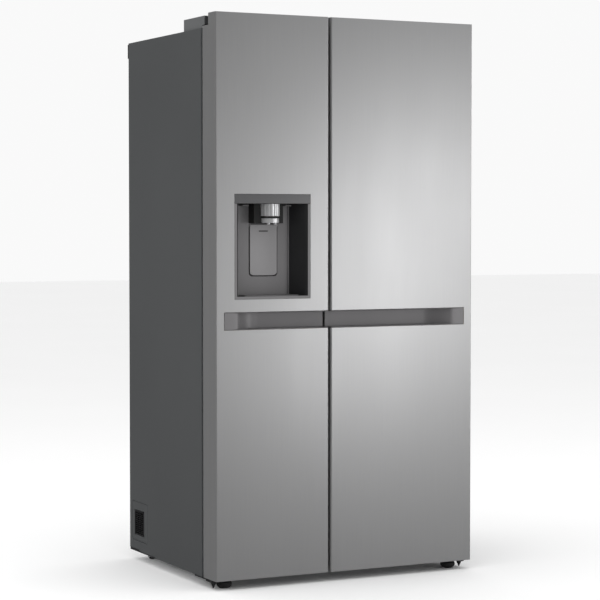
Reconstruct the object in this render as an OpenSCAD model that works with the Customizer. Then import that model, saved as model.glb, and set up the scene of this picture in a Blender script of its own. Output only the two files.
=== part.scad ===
// Side by side refrigerator: freezer on the left, fridge on the right, ice dispenser in the freezer door.
// X runs across the doors, Y from front to back, Z up. The origin is on the floor, below the middle.
// Everything built for one door is drawn for the left side and mirrored for the right.

/* [Overall size] */
// Width over the case and the doors
total_w = 912; // [770:1:1095]
// Height from the floor to the top of the doors
total_h = 1770; // [1475:1:2124]
// Depth from the door fronts to the rear spacers
total_d = 710; // [592:1:852]
// Height of the case and the doors above the floor
floor_gap = 30; // [30:1:40]

/* [Doors] */
// Width of the freezer door
freezer_door_w = 388.5; // [325:0.5:465]
// Gap between the two doors
door_gap = 8; // [5:0.5:10]
// Thickness of a door
door_t = 94; // [92:1:113]
// Room for the gasket between door and case
seal_gap = 12; // [10:1:15]
// Depth of the raised front part of a door's top
door_step_d = 52; // [44:1:54]
// Height of that raised part above the hinge ledge
door_step_h = 36; // [30:1:42]
// Radius of a door's vertical front edges
door_edge_r = 4; // [2:0.5:6]
// Thickness of a door's steel skin
door_sheet = 1; // [0.8:0.1:1.5]
// Wall of the plastic end caps
cap_t = 3; // [2:0.5:4]
// Wall of the doors' inner liners
door_liner_t = 2; // [1.5:0.5:3]
// How far the liner's raised rim reaches into the compartment
rim_d = 45; // [35:1:54]
// Width of that raised rim
rim_t = 12; // [8:1:16]
// Room between the rim and the compartment's walls
rim_gap = 8; // [7:1:12]
// Width of the gasket
gasket_w = 20; // [16:1:24]

/* [Hinges] */
// Distance of a hinge pin from the side of the case
pin_side = 16; // [15:1:20]
// Distance of a hinge pin behind the door's front
pin_back = 73; // [72:1:76]
// Radius of a hinge pin
pin_r = 6; // [5:0.5:7]
// Radial running clearance of the pins, axles and fan shafts
run_fit = 0.05; // [0.02:0.01:0.1]
// How far a hinge pin reaches into the door
pin_reach = 18; // [14:1:24]

/* [Case] */
// Height of the doors above the top of the case
case_drop = 42.5; // [38:0.5:48]
// Thickness of the case's steel sheet
case_sheet = 1.2; // [0.8:0.1:1.6]
// Insulated thickness of the side walls
side_wall = 50; // [42:1:60]
// Insulated thickness of the top
top_wall = 50; // [40:1:60]
// Insulated thickness of the floor
floor_wall = 60; // [50:1:70]
// Insulated thickness of the back
rear_wall = 60; // [50:1:72]
// Width of the mullion between the compartments
mullion_w = 66; // [60:1:76]
// Wall of the compartments' liners
liner_t = 2; // [1.5:0.5:3]
// How far the rear spacers stand out
spacer_out = 10; // [8:1:14]

/* [Machine compartment] */
// Depth of the machine compartment
machine_d = 190; // [160:1:228]
// Height of the machine compartment
machine_h = 255; // [220:1:306]
// Insulation between it and the compartments
machine_wall = 50; // [40:1:60]
// Height of the side vents above the case's bottom
vent_z = 57; // [45:1:80]
// Height of the side vents
vent_h = 83; // [70:1:99]
// Length of the side vents, front to back
vent_l = 80; // [66:1:96]
// Distance of the side vents from the back of the case
vent_back = 41; // [35:1:50]

/* [Handle band] */
// How far the band's centre lies below the middle of the door
handle_below_mid = 72; // [50:1:90]
// Height of the band
handle_h = 55; // [46:1:66]
// Distance of the band's end from the side of the case
handle_side = 28.5; // [24:0.5:34]
// Length of the flat end plate and its lip
handle_plate = 50.5; // [42:0.5:60]
// Depth of the finger pocket
pocket_d = 41; // [35:1:49]
// Length over which the pocket curves down to its full depth
pocket_run = 85; // [70:1:102]
// Depth at which that curve starts
pocket_lip = 3; // [2:0.5:4]
// Height of the grip behind the pocket's upper edge
grip_rise = 14; // [10:1:17]
// Wall of the moulded handle trim
trim_wall = 2.5; // [2:0.5:3]

/* [Dispenser] */
// Width of the dispenser
disp_w = 261; // [218:1:280]
// Height of the dispenser
disp_h = 324; // [290:1:380]
// Gap between the handle band and the dispenser
disp_above = 38.5; // [30:0.5:46]
// Height of the display band
band_h = 30; // [25:1:36]
// Width of the rim around the recess
disp_rim = 9; // [7:0.5:11]
// Depth of the recess
disp_d = 72; // [62:1:73]
// How far each side wall leans in towards the back
disp_lean = 35; // [29:1:42]
// Width of the paddle
paddle_w = 93; // [78:1:112]
// Height of the paddle
paddle_h = 158; // [132:1:180]
// Thickness of the paddle
paddle_t = 4; // [3:0.5:5]
// Room behind the paddle for its travel
paddle_room = 12; // [9:1:14]
// Radius of the chrome nozzle
nozzle_r = 32; // [27:1:32]
// Height of the chrome nozzle
nozzle_h = 38; // [32:1:46]

/* [Interior] */
// Room between the door bins and the drawers behind them
store_gap = 18; // [17:1:36]
// Top of the drawers' zone above the floor
drawer_zone = 640; // [560:1:700]
// Wall of the drawers and bins
bin_wall = 2.5; // [2:0.5:3]
// Play around the drawers
drawer_play = 3; // [2:0.5:5]
// Thickness of the glass shelves
glass_t = 4; // [4:0.5:5]
// Depth of the door bins
bin_d = 110; // [92:1:118]
// Height of the door bins
bin_h = 90; // [75:1:108]

/* [Feet and rollers] */
// Distance of a foot's centre from the side of the case
foot_side = 53; // [48:1:60]
// Distance of a foot's centre behind the door's front
foot_back = 57; // [50:1:62]
// Radius of a foot
foot_r = 24; // [20:1:26]
// Height of a foot
foot_h = 20; // [19:1:21]
// Radius of a rear roller
roller_r = 13; // [11:1:14]

/* [Hidden] */
$fn = 64;
// Overlap that joins pieces of one solid, and run-out of the cuts
over = 1;
// Room between two bodies that don't touch
clear = 0.5;

// Colours
c_steel = [0.74, 0.74, 0.75];
c_case = [0.34, 0.35, 0.36];
c_black = [0.06, 0.06, 0.07];
c_grey = [0.42, 0.42, 0.43];
c_liner = [0.93, 0.94, 0.95];
c_foam = [0.93, 0.85, 0.62];
c_clear = [0.80, 0.88, 0.92, 0.5];
c_metal = [0.62, 0.63, 0.65];

// Main planes
side_x = total_w / 2;
front_y = -total_d / 2;
door_back_y = front_y + door_t;
case_front_y = door_back_y + seal_gap;
case_back_y = total_d / 2 - spacer_out;
case_z0 = floor_gap;
case_z1 = total_h - case_drop;
door_step_z = total_h - door_step_h;
fridge_door_w = total_w - freezer_door_w - door_gap;
function at(d) = front_y + d;
function free_x(w) = -side_x + w;

// Compartments: the outer wall is common to both, the inner wall depends on the door's width
cav_x0 = -side_x + side_wall;
function cav_x1(w) = free_x(w) + door_gap / 2 - mullion_w / 2;
cav_z0 = case_z0 + floor_wall;
cav_z1 = case_z1 - top_wall;
cav_back_y = case_back_y - rear_wall;
machine_y = case_back_y - machine_d;
machine_z = case_z0 + machine_h;
ledge_z = machine_z + machine_wall;
ledge_y = machine_y - machine_wall;
// Front-to-back run of the sloped floor over the machine compartment
ledge_run = 40;
slope_y = ledge_y - ledge_run;

// Door hinge pins, seen from the left door
pin_x = -side_x + pin_side;
pin_y = front_y + pin_back;
// Wall of the bosses around the pins, and of their blind ends
boss_wall = 5;
boss_r = pin_r + boss_wall;

// Handle band and dispenser
door_mid = (floor_gap + total_h) / 2;
handle_z0 = door_mid - handle_below_mid - handle_h / 2;
handle_z1 = handle_z0 + handle_h;
handle_x0 = -side_x + handle_side;
pocket_x0 = handle_x0 + handle_plate;
pocket_r = (pow(pocket_run, 2) + pow(pocket_d - pocket_lip, 2)) / (2 * (pocket_d - pocket_lip));
disp_x = -side_x + freezer_door_w / 2;
disp_z0 = handle_z1 + disp_above;
disp_z1 = disp_z0 + disp_h;
band_z = disp_z1 - band_h;
// Wall of the housing behind the paddle
housing_wall = 2;
disp_back = disp_d + paddle_room + housing_wall;
paddle_pin_r = 2.5;
// Room around the paddle
paddle_gap = 2.5;
// The nozzle stands a little right of the recess's middle, just behind the door's front
nozzle_x = disp_x + 5;
nozzle_y = at(nozzle_r + 2);
nozzle_wall = 8;
nozzle_bore = nozzle_r - nozzle_wall;
// Height of the black collar below it, and of the chrome ring below that
ring_h = 6;
lower_ring_h = 15;
nozzle_z0 = band_z - nozzle_h - ring_h - lower_ring_h;
paddle_z1 = nozzle_z0 - 5;
paddle_pivot_z = paddle_z1 - 3;
paddle_pivot_y = at(disp_d);

// Ice path: a slanted tube from the bucket in the door down to the nozzle
ice_z0 = disp_z1 + 40;
// Depth of the drop hole behind the liner
ice_drop = 31;
ice_drop_y = door_back_y + ice_drop;
ice_angle = atan((ice_drop_y - nozzle_y) / (ice_z0 - band_z));
tube_wall = 2;
maker_h = 120;
// Height left free above and below the ice maker
maker_gap = 6;
maker_z1 = cav_z1 - rim_gap - rim_t - maker_gap;
bucket_z1 = maker_z1 - maker_h - maker_gap;
auger_y = door_back_y + bin_d / 2 + 8;
auger_r = 28;
auger_shaft_r = 4;
auger_z = ice_z0 + auger_r + 14;

// Drawers and shelves
drawer_y = door_back_y + bin_d + store_gap;
shelf_y = drawer_y - 5;
// Strip along each shelf's front edge: its depth, how far it hangs below, how far it stands above the glass
trim_d = 10;
trim_drop = 7;
trim_lip = 3;
// Room behind the duct cover in the freezer and in the fridge
duct_gap = [75, 22];
duct_t = 3;
mid_shelf_z = ledge_z + 2;
shelf_count = 4;
// Height of a door bin's floor above the shelf beside it
bin_lift = 20;
// Where the second bin of the freezer door stands above the first
freezer_bin_pitch = 270;
function shelf_pitch() = (cav_z1 - drawer_zone) / shelf_count;
function shelf_z(i) = i == 0 ? mid_shelf_z : drawer_zone + (i - 1) * shelf_pitch();
function store_back(w) = cav_back_y - duct_gap[w == freezer_door_w ? 0 : 1] - duct_t;

// Fans: centre, radius and shaft
evap_fan_r = 48;
evap_fan_d = 14;
evap_fan_z = mid_shelf_z + 620;
evap_fan_y = cav_back_y - 46;
evap_fan_x = (cav_x0 + cav_x1(freezer_door_w)) / 2;
cond_fan_r = 62;
cond_fan_d = 18;
cond_fan_x = 90;
cond_fan_y = machine_y + machine_d / 2;
cond_fan_z = case_z0 + 145;
shaft_r = 2;
// Room between a fan and its motor
motor_gap = 1;

// Rear rollers, feet and lower hinge plates
roller_y = case_back_y - 50;
roller_x = side_x - 60;
roller_w = 20;
axle_r = 3;
cheek_t = 3;
hinge_plate_t = 4;
hinge_plate_z = floor_gap - 2 - hinge_plate_t;
foot_x = side_x - foot_side;
foot_y = front_y + foot_back;
stud_r = 5;
// Pointed stop beside the foot, seen from the front
nib_x = -side_x + 14;
nib_y = front_y + 50;
nib_z = 3;
nib_r = [1.5, 6];
hinge_leaf_z = door_step_z + 3;
hinge_leaf_t = 5;
hinge_bolts = [[14, 72], [14, 112], [44, 92]];
bolt_r = 3;
bolt_depth = 20;
// Distance of the hinge leaf from the side of the case
leaf_side = 12;
screw_r = 2;
// Play of a bolt or screw in its hole
hole_play = 0.2;
base_t = 2;
cover_z0 = case_z0 + base_t;

// ---- helpers ----

// Box between two corners, given as ranges along X, Y and Z
module span(x, y, z) {
    translate([x[0], y[0], z[0]]) cube([x[1] - x[0], y[1] - y[0], z[1] - z[0]]);
}

// A flat shape drawn in Y and Z, run along X
module run_x(x) {
    translate([x[0], 0, 0]) rotate([90, 0, 90]) linear_extrude(x[1] - x[0]) children();
}

// A flat shape drawn in X and Z, run along Y
module run_y(y) {
    translate([0, y[1], 0]) rotate([90, 0, 0]) linear_extrude(y[1] - y[0]) children();
}

// A flat shape drawn in X and Y, run along Z
module run_z(z) {
    translate([0, 0, z[0]]) linear_extrude(z[1] - z[0]) children();
}

// A rod along X
module rod_x(x, y, z, r) {
    translate([x[0], y, z]) rotate([0, 90, 0]) cylinder(r = r, h = x[1] - x[0]);
}

// A rod along Y
module rod_y(x, y, z, r) {
    translate([x, y[1], z]) rotate([90, 0, 0]) cylinder(r = r, h = y[1] - y[0]);
}

module right_side() {
    mirror([1, 0, 0]) children();
}

module both_sides() {
    children();
    right_side() children();
}

// Rectangle with four round corners
module round_rect(x, y, r) {
    translate([x[0] + r, y[0]]) square([x[1] - x[0] - 2 * r, y[1] - y[0]]);
    translate([x[0], y[0] + r]) square([x[1] - x[0], y[1] - y[0] - 2 * r]);
    for (u = [x[0] + r, x[1] - r], v = [y[0] + r, y[1] - r])
        translate([u, v]) circle(r);
}

// Flat frame: an outer rectangle less an inner one, a band's width smaller
module flat_frame(x, z, band) {
    difference() {
        translate([x[0], z[0]]) square([x[1] - x[0], z[1] - z[0]]);
        translate([x[0] + band, z[0] + band]) square([x[1] - x[0] - 2 * band, z[1] - z[0] - 2 * band]);
    }
}

// Open-topped box with a wall and a floor
module open_box(x, y, z, wall) {
    difference() {
        span(x, y, z);
        span([x[0] + wall, x[1] - wall], [y[0] + wall, y[1] - wall], [z[0] + wall, z[1] + over]);
    }
}

// ---- case ----

// Side wall of a compartment seen along X; grow moves it out by a wall's thickness
module cavity_profile(grow) {
    front = case_front_y - (grow == 0 ? over : 0);
    polygon([
        [front, cav_z0 - grow],
        [slope_y - grow / 2, cav_z0 - grow],
        [ledge_y - grow / 2, ledge_z - grow],
        [cav_back_y + grow, ledge_z - grow],
        [cav_back_y + grow, cav_z1 + grow],
        [front, cav_z1 + grow]]);
}

module cavity(w, grow = 0) {
    run_x([cav_x0 - grow, cav_x1(w) + grow]) cavity_profile(grow);
}

module compartment_liner(w) {
    color(c_liner) difference() {
        cavity(w, liner_t);
        cavity(w);
    }
}

vent_y = [case_back_y - vent_back - vent_l, case_back_y - vent_back];
vent_zz = [case_z0 + vent_z, case_z0 + vent_z + vent_h];

module side_panel() {
    color(c_case) difference() {
        union() {
            span([-side_x, -side_x + case_sheet], [case_front_y, case_back_y], [case_z0, case_z1]);
            span([-side_x, cav_x0 - liner_t], [case_front_y, case_front_y + case_sheet],
                [case_z0, case_z1 - case_sheet]);
        }
        span([-side_x - over, -side_x + case_sheet + over], vent_y, vent_zz);
    }
}

// Louvred plastic insert in a side panel's vent
module side_vent() {
    slat_count = 9;
    slat_t = 2.4;
    pitch = vent_h / slat_count;
    rim = 5;
    x = [-side_x, -side_x + 8];
    color(c_black) {
        run_x(x) translate([vent_y[0], vent_zz[0]]) difference() {
            square([vent_l, vent_h]);
            translate([rim, rim]) square([vent_l - 2 * rim, vent_h - 2 * rim]);
        }
        for (i = [1 : slat_count - 1])
            span(x, [vent_y[0] + rim - over, vent_y[1] - rim + over],
                [vent_zz[0] + i * pitch - slat_t / 2, vent_zz[0] + i * pitch + slat_t / 2]);
    }
}

panel_x = side_x - case_sheet;

module top_panel() {
    color(c_case) difference() {
        union() {
            span([-panel_x, panel_x], [case_front_y, case_back_y], [case_z1 - case_sheet, case_z1]);
            span([cav_x0 - liner_t, -cav_x0 + liner_t], [case_front_y, case_front_y + case_sheet],
                [cav_z1 + liner_t, case_z1]);
        }
        both_sides() hinge_bolt_holes();
    }
}

module back_panel() {
    color(c_case) span([-panel_x, panel_x], [case_back_y - case_sheet, case_back_y],
        [machine_z, case_z1 - case_sheet]);
}

// Stepped steel floor: front flange, floor, wall and roof of the machine compartment
module bottom_pan() {
    s = case_sheet;
    color(c_metal) {
        span([-panel_x, panel_x], [case_front_y + s, machine_y], [case_z0, case_z0 + s]);
        span([-panel_x, panel_x], [machine_y - s, machine_y], [case_z0, machine_z]);
        span([-panel_x, panel_x], [machine_y - s, case_back_y], [machine_z - s, machine_z]);
        span([cav_x0 - liner_t, -cav_x0 + liner_t], [case_front_y, case_front_y + s],
            [case_z0, cav_z0 - liner_t]);
        span([cav_x0 - liner_t, -cav_x0 + liner_t], [case_front_y, case_front_y + 2 * s],
            [case_z0, case_z0 + s]);
    }
}

module compressor_base() {
    color(c_metal) {
        span([-panel_x, panel_x], [machine_y, case_back_y - case_sheet], [case_z0, case_z0 + base_t]);
        both_sides() {
            roller_cheek(-roller_x - roller_w / 2 - clear - cheek_t);
            roller_cheek(-roller_x + roller_w / 2 + clear);
            rod_x([-roller_x - roller_w / 2 - cheek_t - clear, -roller_x + roller_w / 2 + cheek_t + clear],
                roller_y, roller_r, axle_r);
        }
    }
}

// One of the two plates that hold a rear roller's axle
module roller_cheek(x) {
    r = axle_r + 5;
    run_x([x, x + cheek_t]) {
        translate([roller_y, roller_r]) circle(r);
        translate([roller_y - r, roller_r]) square([2 * r, case_z0 - roller_r + over]);
    }
}

module cabinet_insulation() {
    s = case_sheet;
    color(c_foam) difference() {
        span([-panel_x, panel_x], [case_front_y + s, case_back_y - s], [case_z0 + s, case_z1 - s]);
        span([-panel_x - over, panel_x + over], [machine_y - s, case_back_y], [case_z0, machine_z]);
        cavity(freezer_door_w, liner_t);
        right_side() cavity(fridge_door_w, liner_t);
        both_sides() hinge_bolt_holes();
    }
}

module mullion_bar() {
    color(c_case) span([cav_x1(freezer_door_w) + liner_t, -cav_x1(fridge_door_w) - liner_t],
        [case_front_y - clear, case_front_y + case_sheet], [cav_z0 - liner_t, cav_z1 + liner_t]);
}

// Block that keeps the back off the wall, flush with the side
module spacer() {
    spacer_w = 44;
    spacer_h = 46;
    x = [-side_x + over, -side_x + over + spacer_w];
    color(c_black) span(x, [case_back_y, case_back_y + spacer_out], [case_z1 - 4 - spacer_h, case_z1 - 4]);
}

// ---- cooling ----

// Air duct cover at the back of a compartment, with rows of outlets
module air_duct(w, gap, rows) {
    y = cav_back_y - gap - duct_t;
    x = [cav_x0, cav_x1(w)];
    mid = (x[0] + x[1]) / 2;
    slot_w = 90;
    slot_h = 8;
    color(c_liner) difference() {
        span(x, [y, y + duct_t], [ledge_z, cav_z1]);
        for (i = [1 : rows], k = [0 : 2])
            span([mid - slot_w / 2, mid + slot_w / 2], [y - over, y + duct_t + over],
                [shelf_z(1) + (i - 0.3) * shelf_pitch() + k * 2 * slot_h,
                shelf_z(1) + (i - 0.3) * shelf_pitch() + k * 2 * slot_h + slot_h]);
    }
}

// Finned coil: tubes along X, joined by bends, through a row of fins
module coil(x, y, z, tube_r, fins, rows) {
    pitch_z = (z[1] - z[0]) / rows;
    bend_r = pitch_z / 2;
    fin_t = 1.2;
    ends = [x[0] + bend_r + tube_r, x[1] - bend_r - tube_r];
    ym = (y[0] + y[1]) / 2;
    for (i = [0 : rows - 1]) {
        zi = z[0] + (i + 0.5) * pitch_z;
        rod_x(ends, ym, zi, tube_r);
        if (i < rows - 1)
            translate([i % 2 == 0 ? ends[1] : ends[0], ym, zi + bend_r])
                rotate([90, 0, 0]) rotate([0, 0, i % 2 == 0 ? -90 : 90])
                    rotate_extrude(angle = 180) translate([bend_r, 0]) circle(tube_r);
    }
    for (i = [0 : fins - 1])
        span([ends[0] + 6 + i * (ends[1] - ends[0] - 12 - fin_t) / (fins - 1),
            ends[0] + 6 + i * (ends[1] - ends[0] - 12 - fin_t) / (fins - 1) + fin_t], y, z);
}

module evaporator() {
    color(c_metal) coil([cav_x0 + 12, cav_x1(freezer_door_w) - 12], [cav_back_y - 62, cav_back_y],
        [mid_shelf_z + 60, mid_shelf_z + 460], 4, 14, 8);
}

module condenser() {
    color(c_black) coil([-side_x + 90, 10], [machine_y + 40, case_back_y - 50],
        [case_z0 + 62, case_z0 + 222], 3, 14, 5);
}

// Fan turning about Z, with pitched blades
module fan(r, blades, depth) {
    hub_r = 16;
    difference() {
        union() {
            cylinder(r = hub_r, h = depth);
            for (i = [0 : blades - 1])
                rotate([0, 0, i * 360 / blades])
                    translate([hub_r - 4, 0, depth / 2]) rotate([28, 0, 0])
                        translate([0, -depth / 2, -1]) cube([r - hub_r + 4, depth, 2]);
        }
        translate([0, 0, -over]) cylinder(r = shaft_r + run_fit, h = depth - 3);
    }
}

module evaporator_fan() {
    color(c_black) translate([evap_fan_x, evap_fan_y, evap_fan_z]) rotate([90, 0, 0])
        fan(evap_fan_r, 5, evap_fan_d);
}

module condenser_fan() {
    color(c_black) translate([cond_fan_x, cond_fan_y, cond_fan_z]) rotate([0, -90, 0])
        fan(cond_fan_r, 5, cond_fan_d);
}

module fan_motors() {
    color(c_metal) {
        rod_y(evap_fan_x, [evap_fan_y + motor_gap, evap_fan_y + 26], evap_fan_z, 22);
        rod_y(evap_fan_x, [evap_fan_y + 5 - evap_fan_d, evap_fan_y + 2], evap_fan_z, shaft_r);
        span([evap_fan_x - 70, evap_fan_x + 70], [evap_fan_y + 25, cav_back_y],
            [evap_fan_z - 12, evap_fan_z + 12]);
        rod_x([cond_fan_x + motor_gap, cond_fan_x + 40], cond_fan_y, cond_fan_z, 24);
        rod_x([cond_fan_x + 6 - cond_fan_d, cond_fan_x + 2], cond_fan_y, cond_fan_z, shaft_r);
        span([cond_fan_x + 12, cond_fan_x + 28], [cond_fan_y - 12, cond_fan_y + 12],
            [case_z0 + base_t, cond_fan_z]);
    }
}

// Compressor: steel pot with a domed lid on a foot plate, with its pipe stubs
module compressor() {
    r = 78;
    x = side_x - 180;
    y = machine_y + machine_d / 2;
    z0 = case_z0 + 14;
    color(c_black) {
        translate([x, y, z0]) cylinder(r = r, h = 120);
        translate([x, y, z0 + 119]) rotate_extrude() intersection() {
            translate([0, -60]) circle(100);
            square([r - 4, 60]);
        }
        span([x - 105, x + 105], [y - 70, y + 70], [z0 - 4, z0 + over]);
        for (u = [x - 92, x + 92], v = [y - 56, y + 56])
            translate([u, v, case_z0 + base_t]) cylinder(r = 10, h = 9);
        rod_x([x - r - 20, x - r + 10], y, z0 + 90, 4);
    }
}

module drip_pan() {
    color(c_black) open_box([-side_x + 96, 4], [machine_y + 16, case_back_y - 24],
        [case_z0 + base_t, case_z0 + 44], 2);
}

cover_screws = [for (x = [-1, 0, 1], z = [0, 1])
    [x * (panel_x - 14), z == 0 ? cover_z0 + 9 : machine_z - case_sheet - 9]];

gland_z = cover_z0 + 60;
gland_r = 9;

module machine_cover() {
    slots = 12;
    y = [case_back_y - case_sheet, case_back_y];
    color(c_black) difference() {
        span([-panel_x, panel_x], y, [cover_z0, machine_z - case_sheet]);
        for (side = [-1, 1], k = [0 : 2], i = [0 : slots - 1])
            span([side * 230 + (i - slots / 2) * 22, side * 230 + (i - slots / 2) * 22 + 10],
                [y[0] - over, y[1] + over], [cover_z0 + 50 + k * 50, cover_z0 + 85 + k * 50]);
        for (p = cover_screws)
            rod_y(p[0], [y[0] - over, y[1] + over], p[1], screw_r + hole_play);
        rod_y(0, [y[0] - over, y[1] + over], gland_z, gland_r + hole_play);
    }
}

// Bush that the mains lead would leave through
module cord_gland() {
    y = [case_back_y - 12, case_back_y + 6];
    color(c_black) difference() {
        union() {
            rod_y(0, y, gland_z, gland_r);
            rod_y(0, [case_back_y, case_back_y + 4], gland_z, gland_r + 5);
        }
        rod_y(0, [y[0] - over, y[1] + over], gland_z, gland_r / 2);
    }
}

module screws() {
    color(c_metal) {
        for (p = cover_screws) {
            rod_y(p[0], [case_back_y - 8, case_back_y + over], p[1], screw_r);
            rod_y(p[0], [case_back_y, case_back_y + 2.5], p[1], 4.5);
        }
        both_sides() for (b = hinge_bolts)
            translate([-side_x + leaf_side + b[0], case_front_y + b[1], 0]) {
                translate([0, 0, case_z1 - bolt_depth])
                    cylinder(r = bolt_r, h = bolt_depth + hinge_leaf_t + over);
                translate([0, 0, case_z1 + hinge_leaf_t]) cylinder(r = 2 * bolt_r, h = 4);
            }
    }
}

// ---- hinges and feet ----

module hinge_bolt_holes() {
    for (b = hinge_bolts)
        translate([-side_x + leaf_side + b[0], case_front_y + b[1], case_z1 - bolt_depth - over])
            cylinder(r = bolt_r + hole_play, h = 2 * bolt_depth);
}

// Z-shaped steel leaf on the case, with the pin that drops into the door
module upper_hinge() {
    nose_r = 15;
    nose_h = 22;
    x0 = -side_x + leaf_side;
    leaf_top = hinge_leaf_z + hinge_leaf_t;
    color(c_black) {
        difference() {
            union() {
                span([x0, x0 + 60], [case_front_y + 40, case_front_y + 130],
                    [case_z1, case_z1 + hinge_leaf_t]);
                span([x0, x0 + 40], [case_front_y + 22, case_front_y + 41], [case_z1, leaf_top]);
                span([x0, x0 + 32], [pin_y + 8, case_front_y + 23], [hinge_leaf_z, leaf_top]);
                translate([pin_x, pin_y, hinge_leaf_z]) cylinder(r = nose_r, h = nose_h);
            }
            hinge_bolt_holes();
        }
        translate([pin_x, pin_y, door_step_z - pin_reach])
            cylinder(r = pin_r, h = pin_reach + 5);
    }
}

// Hollow plastic cover over the leaf and its bolts
module hinge_cover() {
    x = [-side_x + 5, -side_x + 84];
    y = [pin_y + 17, case_front_y + 146];
    z1 = total_h - 5;
    wall = 2;
    r = 5;
    color(c_case) difference() {
        union() {
            run_z([case_z1, z1]) round_rect(x, [case_front_y + clear, y[1]], r);
            span(x, [y[0], case_front_y + 20], [hinge_leaf_z, z1]);
        }
        run_z([case_z1 - over, z1 - wall])
            round_rect([x[0] + wall, x[1] - wall], [case_front_y + clear + wall, y[1] - wall], r - wall);
        span([x[0] + wall, x[1] - wall], [y[0] - over, case_front_y + 20],
            [hinge_leaf_z - over, z1 - wall]);
    }
}

// Steel plate under the case: holds the lower pin and the stud of the foot
module lower_hinge() {
    z = [hinge_plate_z, hinge_plate_z + hinge_plate_t];
    x = [-side_x + 4, -side_x + 96];
    color(c_black) {
        span(x, [front_y + 40, case_front_y + 64], z);
        span(x, [case_front_y + 4, case_front_y + 64], [z[0], case_z0]);
        translate([pin_x, pin_y, z[0] + over]) cylinder(r = pin_r, h = case_z0 + pin_reach - z[0] - over);
        translate([-foot_x, foot_y, z[0] - foot_h + 4]) cylinder(r = stud_r, h = foot_h - 3);
        translate([nib_x, nib_y, nib_z]) cylinder(r1 = nib_r[0], r2 = nib_r[1], h = z[0] - nib_z + over);
    }
}

module foot() {
    flare_h = 9;
    edge = 2;
    color(c_black) translate([-foot_x, foot_y, 0]) difference() {
        union() {
            cylinder(r1 = foot_r - 8, r2 = foot_r, h = flare_h);
            translate([0, 0, flare_h]) cylinder(r = foot_r, h = foot_h - flare_h - edge);
            translate([0, 0, foot_h - edge]) cylinder(r1 = foot_r, r2 = foot_r - edge, h = edge);
        }
        translate([0, 0, 3]) cylinder(r = stud_r + run_fit, h = foot_h);
    }
}

module roller() {
    color(c_grey) difference() {
        rod_x([-roller_x - roller_w / 2, -roller_x + roller_w / 2], roller_y, roller_r, roller_r);
        rod_x([-roller_x - roller_w, -roller_x + roller_w], roller_y, roller_r, axle_r + run_fit);
    }
}

// ---- inside the compartments ----

rail_h = 8;
rail_w = 8;
// How far the rails stop short of the shelves' ends, and the play beside the shelves
rail_in = 20;
shelf_play = 2;

// Everything that repeats on each shelf level, drawn for one compartment
module shelf_levels() {
    for (i = [0 : shelf_count])
        translate([0, 0, shelf_z(i)]) children();
}

module shelf_glass(w) {
    shelf_levels() span([cav_x0 + shelf_play, cav_x1(w) - shelf_play], [shelf_y, store_back(w) - over],
        [0, glass_t]);
}

module shelf_trim(w) {
    shelf_levels() span([cav_x0 + shelf_play, cav_x1(w) - shelf_play], [shelf_y - trim_d, shelf_y],
        [-trim_drop, glass_t + trim_lip]);
}

module shelf_rail(w) {
    for (i = [0 : shelf_count], x = [cav_x0, cav_x1(w) - rail_w])
        span([x, x + rail_w], [shelf_y + rail_in, i == 0 ? slope_y - rail_in : store_back(w) - rail_in],
            [shelf_z(i) - rail_h, shelf_z(i)]);
}

// Drawer with a lowered hand edge in its front
module drawer(w, z, back) {
    x = [cav_x0 + rail_w + drawer_play, cav_x1(w) - rail_w - drawer_play];
    mid = (x[0] + x[1]) / 2;
    hand_w = 120;
    hand_h = 24;
    difference() {
        open_box(x, [drawer_y, back], z, bin_wall);
        span([mid - hand_w / 2, mid + hand_w / 2], [drawer_y - over, drawer_y + bin_wall + over],
            [z[1] - hand_h, z[1] + over]);
    }
}

lower_drawer_z = [cav_z0 + clear, mid_shelf_z - rail_h - drawer_play];
upper_drawer_z = [mid_shelf_z + glass_t + trim_lip + clear, drawer_zone - rail_h - drawer_play];

module ceiling_lamp(w) {
    mid = (cav_x0 + cav_x1(w)) / 2;
    lamp = [140, 60, 9];
    span([mid - lamp[0] / 2, mid + lamp[0] / 2], [shelf_y + 40, shelf_y + 40 + lamp[1]],
        [cav_z1 - lamp[2], cav_z1]);
}

// ---- doors ----

// Plan of a door, drawn inwards by a sheet's thickness
module door_plan(w, depth, in = 0) {
    r = door_edge_r - in;
    x = [-side_x + in, free_x(w) - in];
    translate([x[0], at(in) + r]) square([x[1] - x[0], depth - in - r]);
    translate([x[0] + r, at(in)]) square([x[1] - x[0] - 2 * r, r + over]);
    for (u = [x[0] + r, x[1] - r])
        translate([u, at(in) + r]) circle(r);
}

module handle_cut(w) {
    span([handle_x0, free_x(w) + over], [front_y - over, at(pocket_d + trim_wall)], [handle_z0, handle_z1]);
}

module dispenser_cut() {
    span([disp_x - disp_w / 2, disp_x + disp_w / 2], [front_y - over, at(disp_back)], [disp_z0, disp_z1]);
}

module door_skin(w, dispenser) {
    color(c_steel) difference() {
        union() {
            run_z([floor_gap, door_step_z]) door_plan(w, door_t);
            run_z([door_step_z - over, total_h]) door_plan(w, door_step_d);
        }
        run_z([floor_gap - over, total_h + over]) door_plan(w, door_t + over, door_sheet);
        handle_cut(w);
        if (dispenser) dispenser_cut();
    }
}

// Grip cavity's block behind the skin, above the band
module grip_block(w) {
    span([pocket_x0 + 10, free_x(w) - door_edge_r], [at(door_sheet), at(pocket_d + trim_wall)],
        [handle_z1 - over, handle_z1 + grip_rise]);
}

module door_foam(w, dispenser) {
    color(c_foam) difference() {
        union() {
            run_z([floor_gap + cap_t, door_step_z - cap_t]) door_plan(w, door_t - door_liner_t, door_sheet);
            run_z([door_step_z - cap_t - over, total_h - cap_t])
                door_plan(w, door_step_d - cap_t, door_sheet);
        }
        handle_cut(w);
        grip_block(w);
        pin_bosses();
        if (dispenser) {
            dispenser_cut();
            ice_tube(0);
        }
    }
}

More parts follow.
